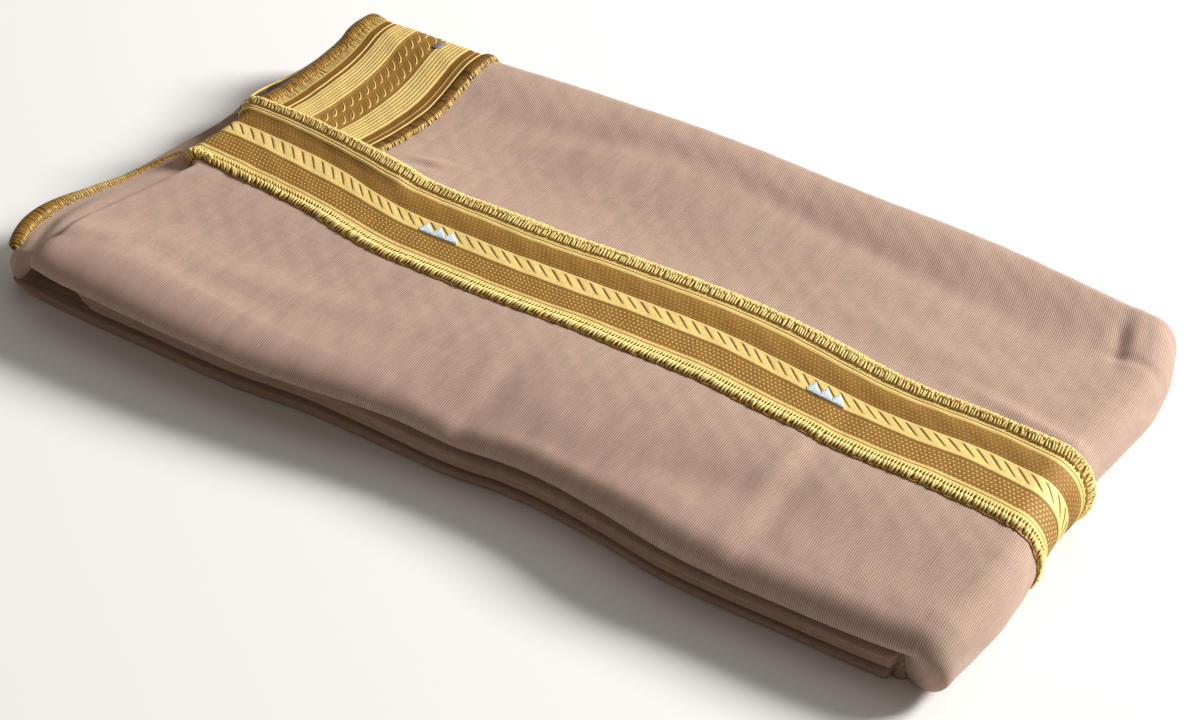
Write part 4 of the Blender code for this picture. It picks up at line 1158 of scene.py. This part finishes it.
wideRolls = {
    "firstU": 0.0012, "spacing": 0.0011, "under": 0.0002,
    # the roll's two sides in v, lines across, height at its sides, crown, and how far its edge wavers
    "outer": (-0.0062, 0.0066, 17, 0.0005, 0.0021, 0.0),
    "inner": (0.0584, 0.0642, 11, 0.0006, 0.0014, 0.0003),
}


def buildWideRoll(name, node, which, finish):
    # a half round roll of satin thread: side height + crown (1 - w^2)^0.5
    w = wideRolls
    first, last, lines, side, crown, waver = w[which]
    u = farLines(w["firstU"], w["spacing"])[None, :]
    v = np.linspace(first, last, lines)[:, None] + waver * np.sin(u * 700)
    roll = wideShell(name, u, v, w["under"], side + crown * crowned(v, first, last), finish)
    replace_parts(roll, node)


edgeStitches = [
    # name, seed, pitch, v from and to, heights at both ends and of the arch, radius, lean, raggedness
    ("toothedStitches", 31, 0.00100, 0.0092, 0.0062, (0.0006, 0.0016, 0.0001), 0.00022, 0.25, 0.0004),
    ("raggedStitches", 41, 0.00072, 0.0622, 0.0646, (0.0014, 0.0004, 0.0006), 0.00020, -0.35, 0.0009),
]


def acrossStitches(name, seed, pitch, first, last, heights, radius, lean, ragged):
    # short stitches across the wide band: v from first to last, height along a small arch
    place = farLines(0.0016, pitch)[:-1, None]
    count = len(place)
    place, turn = place + pitch * scatter(count, seed, -0.2, 0.2), along(7)
    v = between(first, last + ragged * scatter(count, seed + 1, -1, 1), turn)
    u = place + lean * (v - first) + pitch * 0.3 * scatter(count, seed + 2, -1, 1) * turn
    up = between(heights[0], heights[1], turn) + heights[2] * np.sin(math.pi * turn)
    size = radius * (0.55 + 0.6 * np.sin(math.pi * (0.1 + 0.8 * turn)))
    sewn(name, onWideBand, u, v, up, size * scatter(count, seed + 3, 0.8, 1.2), 5, place * 3)


def buildLeaves():
    # curved rims of the woven leaves: u falls as v grows, with a bulge to the far side
    w = wide
    last = w["length"] + w["farRun"] * w["farStep"] - w["rimShort"]
    rows = [(w["leafPitch"] * (n + 0.5 * k) + w["leafStart"], middle)
            for k, middle in enumerate(w["leafColumns"]) for n in range(-1, 20)]
    place = np.array([row for row in rows if w["rimFirst"] < row[0] < last])
    turn = np.linspace(-1, 1, 11)[None, :]
    bow = 1 - turn ** 2
    (reachU, reachV), (bowU, bowV) = w["rimReach"], w["rimBow"]
    v = place[:, 1:] + reachV * turn + bowV * bow - w["rimHook"] * ease((turn - 0.65) / 0.35)
    u = place[:, :1] - reachU * turn + bowU * bow
    sewn("wovenLeaves", onWideBand, u, v, parcel["gap"] + w["wall"] + w["rimHeight"],
         w["rimRadius"] * (0.25 + 0.75 * bow ** 0.5), 6, place[:, :1] * 3, flatten=0.8)


buildWideBand()
buildWideRoll("outerSatinRoll", "wide_trim_outer_roll", "outer",
              satinPaint("satinGold", (0.060, 0.022, 0.004), (0.460, 0.245, 0.048), 0.00150))
buildWideRoll("innerSatinRoll", "wide_trim_inner_roll", "inner",
              satinPaint("darkSatinGold", (0.075, 0.028, 0.005), (0.300, 0.150, 0.028), 0.00100))
buildLeaves()
for row in edgeStitches:
    acrossStitches(*row)
print("wide gold band sewn on")


silver = {
    "shares": (0.404, 0.512), "teeth": 3, "pitch": 0.00040, "places": ((0.0996, 0.1158), (0.2635, 0.2785)),
    "shortest": 0.34, "peak": 0.30, "lean": 0.0008, "radius": 0.00026, "height": 0.0001, "arch": 0.00012,
    "spotU": (0.0920, 0.0985), "spotV": (0.0386, 0.0418),
}
silverThread = threadPaint("silverThread", (0.50, 0.56, 0.62), gold["silver"])
greyThread = threadPaint("greyThread", (0.20, 0.21, 0.22), (0.36, 0.38, 0.40))


def buildSilverTeeth():
    # side by side stitches whose length follows a plain saw, rising quickly and falling slowly
    w = silver
    low, high = w["shares"]
    places = [np.arange(first, last, w["pitch"]) for first, last in w["places"]]
    saw = [(u - first) / (last - first) for u, (first, last) in zip(places, w["places"])]
    saw = np.concatenate(saw)[:, None] * w["teeth"]
    saw = saw - np.floor(saw)
    tooth = np.where(saw < w["peak"], saw / w["peak"], (1 - saw) / (1 - w["peak"]))
    u, turn = np.concatenate(places)[:, None], along(7)
    share = low + (high - low) * between(w["shortest"], 1, tooth) * turn
    up = parcel["gap"] + narrowWeave["wall"] + narrowWeave["paleHeight"] + w["height"]
    up = up + w["arch"] * np.sin(math.pi * turn)
    radius = w["radius"] * (0.5 + 0.5 * np.sin(math.pi * turn) ** 0.5)
    sewn("silverTeeth", onNearFront, u - w["lean"] * turn, share, up, radius, 5, u * 3, silverThread)
    # a few grey stitches between the leaves and the ribs, near the far fold
    u = np.arange(*w["spotU"], w["pitch"])[:, None] + w["lean"] * turn
    v, up = between(*w["spotV"], turn), parcel["gap"] + wide["wall"] + wide["ribHeight"] + w["arch"]
    sewn("greyStitches", onWideBand, u, v, up, radius, 5, u[:, :1] * 3, greyThread)


buildSilverTeeth()


# the corded layer, which shows at the left end under the near front
corded = {
    "wall": 0.0010, "endY": 0.0900, "spacing": 0.0015, "lines": 26, "clearOfCord": 0.0012,
    "clearOfRoll": 0.0013, "overCord": 0.0006, "rollHeight": 0.0226, "puff": 0.0006, "fold": 0.0006,
    "foldStart": 0.07, "foldLength": 0.05,
    "lobe": 0.0043, "lobeSteps": 14, "lobeTurn": (0.15, 2.3), "lobeDroop": 1.3,
    "teethY": (0.082, 0.002), "teethPitch": 0.00085, "toothReach": (0.55, 1.45), "toothRadius": 0.00018,
    # y, x and height of the cord, its radius
    "edge": [(0.132, 0.0052, 0.0200, 0.0012), (0.106, 0.0036, 0.0206, 0.0012),
             (0.095, 0.0034, 0.0208, 0.0012), (0.085, 0.0018, 0.0206, 0.0013),
             (0.0765, 0.0000, 0.0202, 0.0015), (0.0675, -0.0014, 0.0201, 0.0017),
             (0.0585, -0.0024, 0.0201, 0.0019), (0.0510, -0.0043, 0.0201, 0.0021),
             (0.0432, -0.0061, 0.0201, 0.0023), (0.0358, -0.0082, 0.0199, 0.0026),
             (0.0290, -0.0094, 0.0197, 0.0030), (0.0210, -0.0097, 0.0194, 0.0033),
             (0.0140, -0.0088, 0.0190, 0.0034), (0.0070, -0.0064, 0.0186, 0.0033),
             (0.0000, -0.0034, 0.0180, 0.0028)],
}
corded["up"] = corded["edge"][::-1]


def cordPath(y):  # the cord's middle line at this y, counted from the parcel's corner
    return np.stack([readCurve(corded["up"], k, y) if k else y for k in (1, 0, 2)], -1)


def buildCordedLayer():
    # across 0..1 from the cord up to the near front's roll; past the near corner it droops in two soft
    # lobes: y = -radius sin(angle), height falls by droop * radius (1 - cos(angle))
    w = corded
    steps = w["lobeSteps"]
    y = np.concatenate([evenly(w["edge"][0][0], 0.0, w["spacing"]), np.zeros(steps)])[None, :]
    angle = np.concatenate([np.zeros(y.shape[1] - steps), np.linspace(*w["lobeTurn"], steps)])[None, :]
    across = np.linspace(0, 1, w["lines"])[:, None]
    start = readCurve(w["up"], 1, y) + w["clearOfCord"]
    x = between(start, readCurve(parcel["leftEdge"], 1, y) - w["clearOfRoll"], across)
    edgeTop = readCurve(w["up"], 2, y) + w["overCord"]
    top = between(edgeTop, w["rollHeight"], ease(across)) + w["puff"] * np.sin(math.pi * across) ** 2
    fold = w["fold"] * np.sin(across * 9 + y * 70) * np.sin(across * math.pi)
    fold = fold * ease((w["foldStart"] - y) / w["foldLength"])
    radius = w["lobe"] * (1 + 0.22 * np.sin(across * 7.2 - 0.4))
    radius = radius * (1 - 0.75 * ease((across - 0.72) / 0.28))
    y = y - radius * np.sin(angle)
    top = top + fold - radius * (1 - np.cos(angle)) * w["lobeDroop"]
    inward = np.stack(np.broadcast_arrays(0 * x, np.sin(angle), -np.cos(angle)), -1)
    upper = np.stack(np.broadcast_arrays(x - parcel["middleX"], y - parcel["middleY"], top), -1)
    uv = np.stack([lengthAlong(upper, 0, 0), lengthAlong(upper, 1, 0)], -1)
    lower = upper + w["wall"] * inward
    piece = closedWall("cordedLayerCloth", upper, lower, uv, clothPaint, True)
    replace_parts(piece, "corded_layer")
    return piece


def cordTube(name, path, radius, blunt, sides, finish, flatten=1.0):
    # one tube along a path counted from the parcel's corner, thin at both ends for so many points
    count = len(path)
    path = path - [parcel["middleX"], parcel["middleY"], 0]
    end = ease(np.minimum(np.arange(count), np.arange(count)[::-1]) / blunt[0] + 0.1)
    radius = radius * between(blunt[1], 1, end)
    up = np.zeros((1, count, 3)) + [0, 0, 1.0]
    return threadTubes(name, path[None], up, radius[None], sides, np.zeros(1), finish,
                       flatten)


def buildCord():
    # one flattened tube, wide at the near end and thin where it goes under the band
    w = corded
    y = evenly(w["endY"], -0.0006, 0.0006)
    # the cord's satin gets a painted highlight from 26 to 56 mm along it, counted from its end under the
    # band
    cordPaint = satinPaint("cordSatin", (0.110, 0.042, 0.007), (0.400, 0.205, 0.036), 0.00110,
                           (0.026, 0.056, 0.010))
    cord = cordTube("satinCord", cordPath(y), readCurve(w["up"], 3, y), (5, 0.4), 20, cordPaint, 0.8)
    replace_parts(cord, "gold_cord")
    # short stitches down its inner side: height = 0.8 (radius^2 - reach^2)^0.5
    place, turn = evenly(*w["teethY"], w["teethPitch"])[:, None], along(5)
    count = len(place)
    y = place + 0.0002 * scatter(count, 51, -1, 1) + 0.0003 * turn
    full = readCurve(w["up"], 3, y)
    first, last = w["toothReach"]
    reach = full * between(first, last + 0.25 * scatter(count, 52, -1, 1), turn)
    height = np.maximum(0.8 * full * np.sqrt(np.clip(1 - (reach / full) ** 2, 0, 1)), 0.0010) + 0.00015
    centre = cordPath(y) + np.stack([reach, 0 * reach, height], -1)
    centre = centre - [parcel["middleX"], parcel["middleY"], 0]
    radius = w["toothRadius"] * (0.6 + 0.4 * np.sin(math.pi * turn)) + 0 * y
    threadTubes("cordTeeth", centre, np.zeros_like(centre) + [0, 0, 1.0], radius, 5, place[:, 0] * 3,
                paleThread)


tuft = {
    "count": 60, "start": 0.0020, "length": 0.0130, "curl": 0.0034, "share": 0.110, "drop": 0.120,
    "height": 0.0009, "bow": 0.0022, "radius": 0.00030,
}


def buildTuft():
    # loose ends at the band's left tip: each curls out and down
    w = tuft
    count, turn = w["count"], along(9)
    begin = scatter(count, 61)
    u = narrow["start"] + w["start"] + w["length"] * begin
    u = u - w["curl"] * scatter(count, 62, -0.2, 1.0) * np.sin(2.2 * turn)
    drop = w["drop"] * scatter(count, 63, 0.35, 1.0) * (1 - 0.35 * begin)
    share = w["share"] - drop * np.sin(1.9 * turn)
    bow = w["bow"] * scatter(count, 64) * np.sin(math.pi * turn * 0.85) * (1 - 0.4 * begin)
    radius = w["radius"] * (1 - 0.45 * turn)
    sewn("frayedTuft", onNearFront, u, share, w["height"] + bow, radius, 5, scatter(count, 65))


def buildUnderPiping():
    # a thin cord on the edge of the layer that stands out on the left
    y = evenly(*layers["pipingY"], 0.0005)
    rows, (shiftX, shiftUp) = layers["tongue"], layers["pipingShift"]
    path = np.stack([readCurve(rows, 1, y) + shiftX, y, readCurve(rows, 2, y) + shiftUp], -1)
    cordTube("underPiping", path, np.full(len(y), layers["pipingRadius"]), (6, 0.3), 10, paleThread)


cordedLayer = buildCordedLayer()
buildCord()
buildTuft()
buildUnderPiping()
print("cord and loose threads placed")


studio = {
    "floor": (0.80, 0.79, 0.77, 1), "floorReach": 6.0, "sky": (1.0, 0.92, 0.82, 1), "skyStrength": 0.165,
    # name: place, size, watts, colour
    "lamps": {
        "keyWindow": ((1.88, 2.40, 1.66), 1.0, 250.0, (1.0, 1.0, 0.99)),
        "skyPanel": ((-0.2, 0.5, 1.6), 1.6, 4.0, (1.0, 0.98, 0.95)),
        "nearFill": ((-0.6, -1.3, 0.8), 1.0, 1.0, (1.0, 0.93, 0.84)),
    },
    "camera": (0.29891, -0.65104, 0.48001), "turn": (55.2296, -6.7042, 29.4086),
    "lens": 68.64, "film": 36.0,
}


def putInScene(name, data):
    holder = bpy.data.objects.new(name, data)
    bpy.context.scene.collection.objects.link(holder)
    return holder


def buildStage():
    mesh, reach = bpy.data.meshes.new("floor"), studio["floorReach"]
    corners = [(-reach, -reach, 0), (reach, -reach, 0), (reach, reach, 0), (-reach, reach, 0)]
    mesh.from_pydata(corners, [], [(0, 1, 2, 3)])
    mesh.materials.append(Paint("palePaper", Roughness=0.9, Base_Color=studio["floor"]).material)
    putInScene("floor", mesh)


def buildLamps():  # each panel faces the middle of the parcel
    for name, (place, size, watts, colour) in studio["lamps"].items():
        lamp = bpy.data.lights.new(name, "AREA")
        lamp.size, lamp.energy, lamp.color = size, watts, colour
        holder = putInScene(name, lamp)
        holder.location = place
        tilt = math.atan2(math.hypot(place[0], place[1]), place[2])
        holder.rotation_euler = (tilt, 0, math.atan2(place[0], -place[1]))
    world = bpy.data.worlds.new("studio")
    world.use_nodes = True
    sky = world.node_tree.nodes["Background"]
    sky.inputs["Color"].default_value = studio["sky"]
    sky.inputs["Strength"].default_value = studio["skyStrength"]
    bpy.context.scene.world = world


def buildCamera():
    data = bpy.data.cameras.new("camera")
    data.lens, data.sensor_width = studio["lens"], studio["film"]
    holder = putInScene("camera", data)
    holder.location = studio["camera"]
    holder.rotation_euler = [math.radians(a) for a in studio["turn"]]
    bpy.context.scene.camera = holder
    bpy.context.scene.view_settings.view_transform = "Standard"


buildStage()
buildLamps()
buildCamera()
print("stage set")
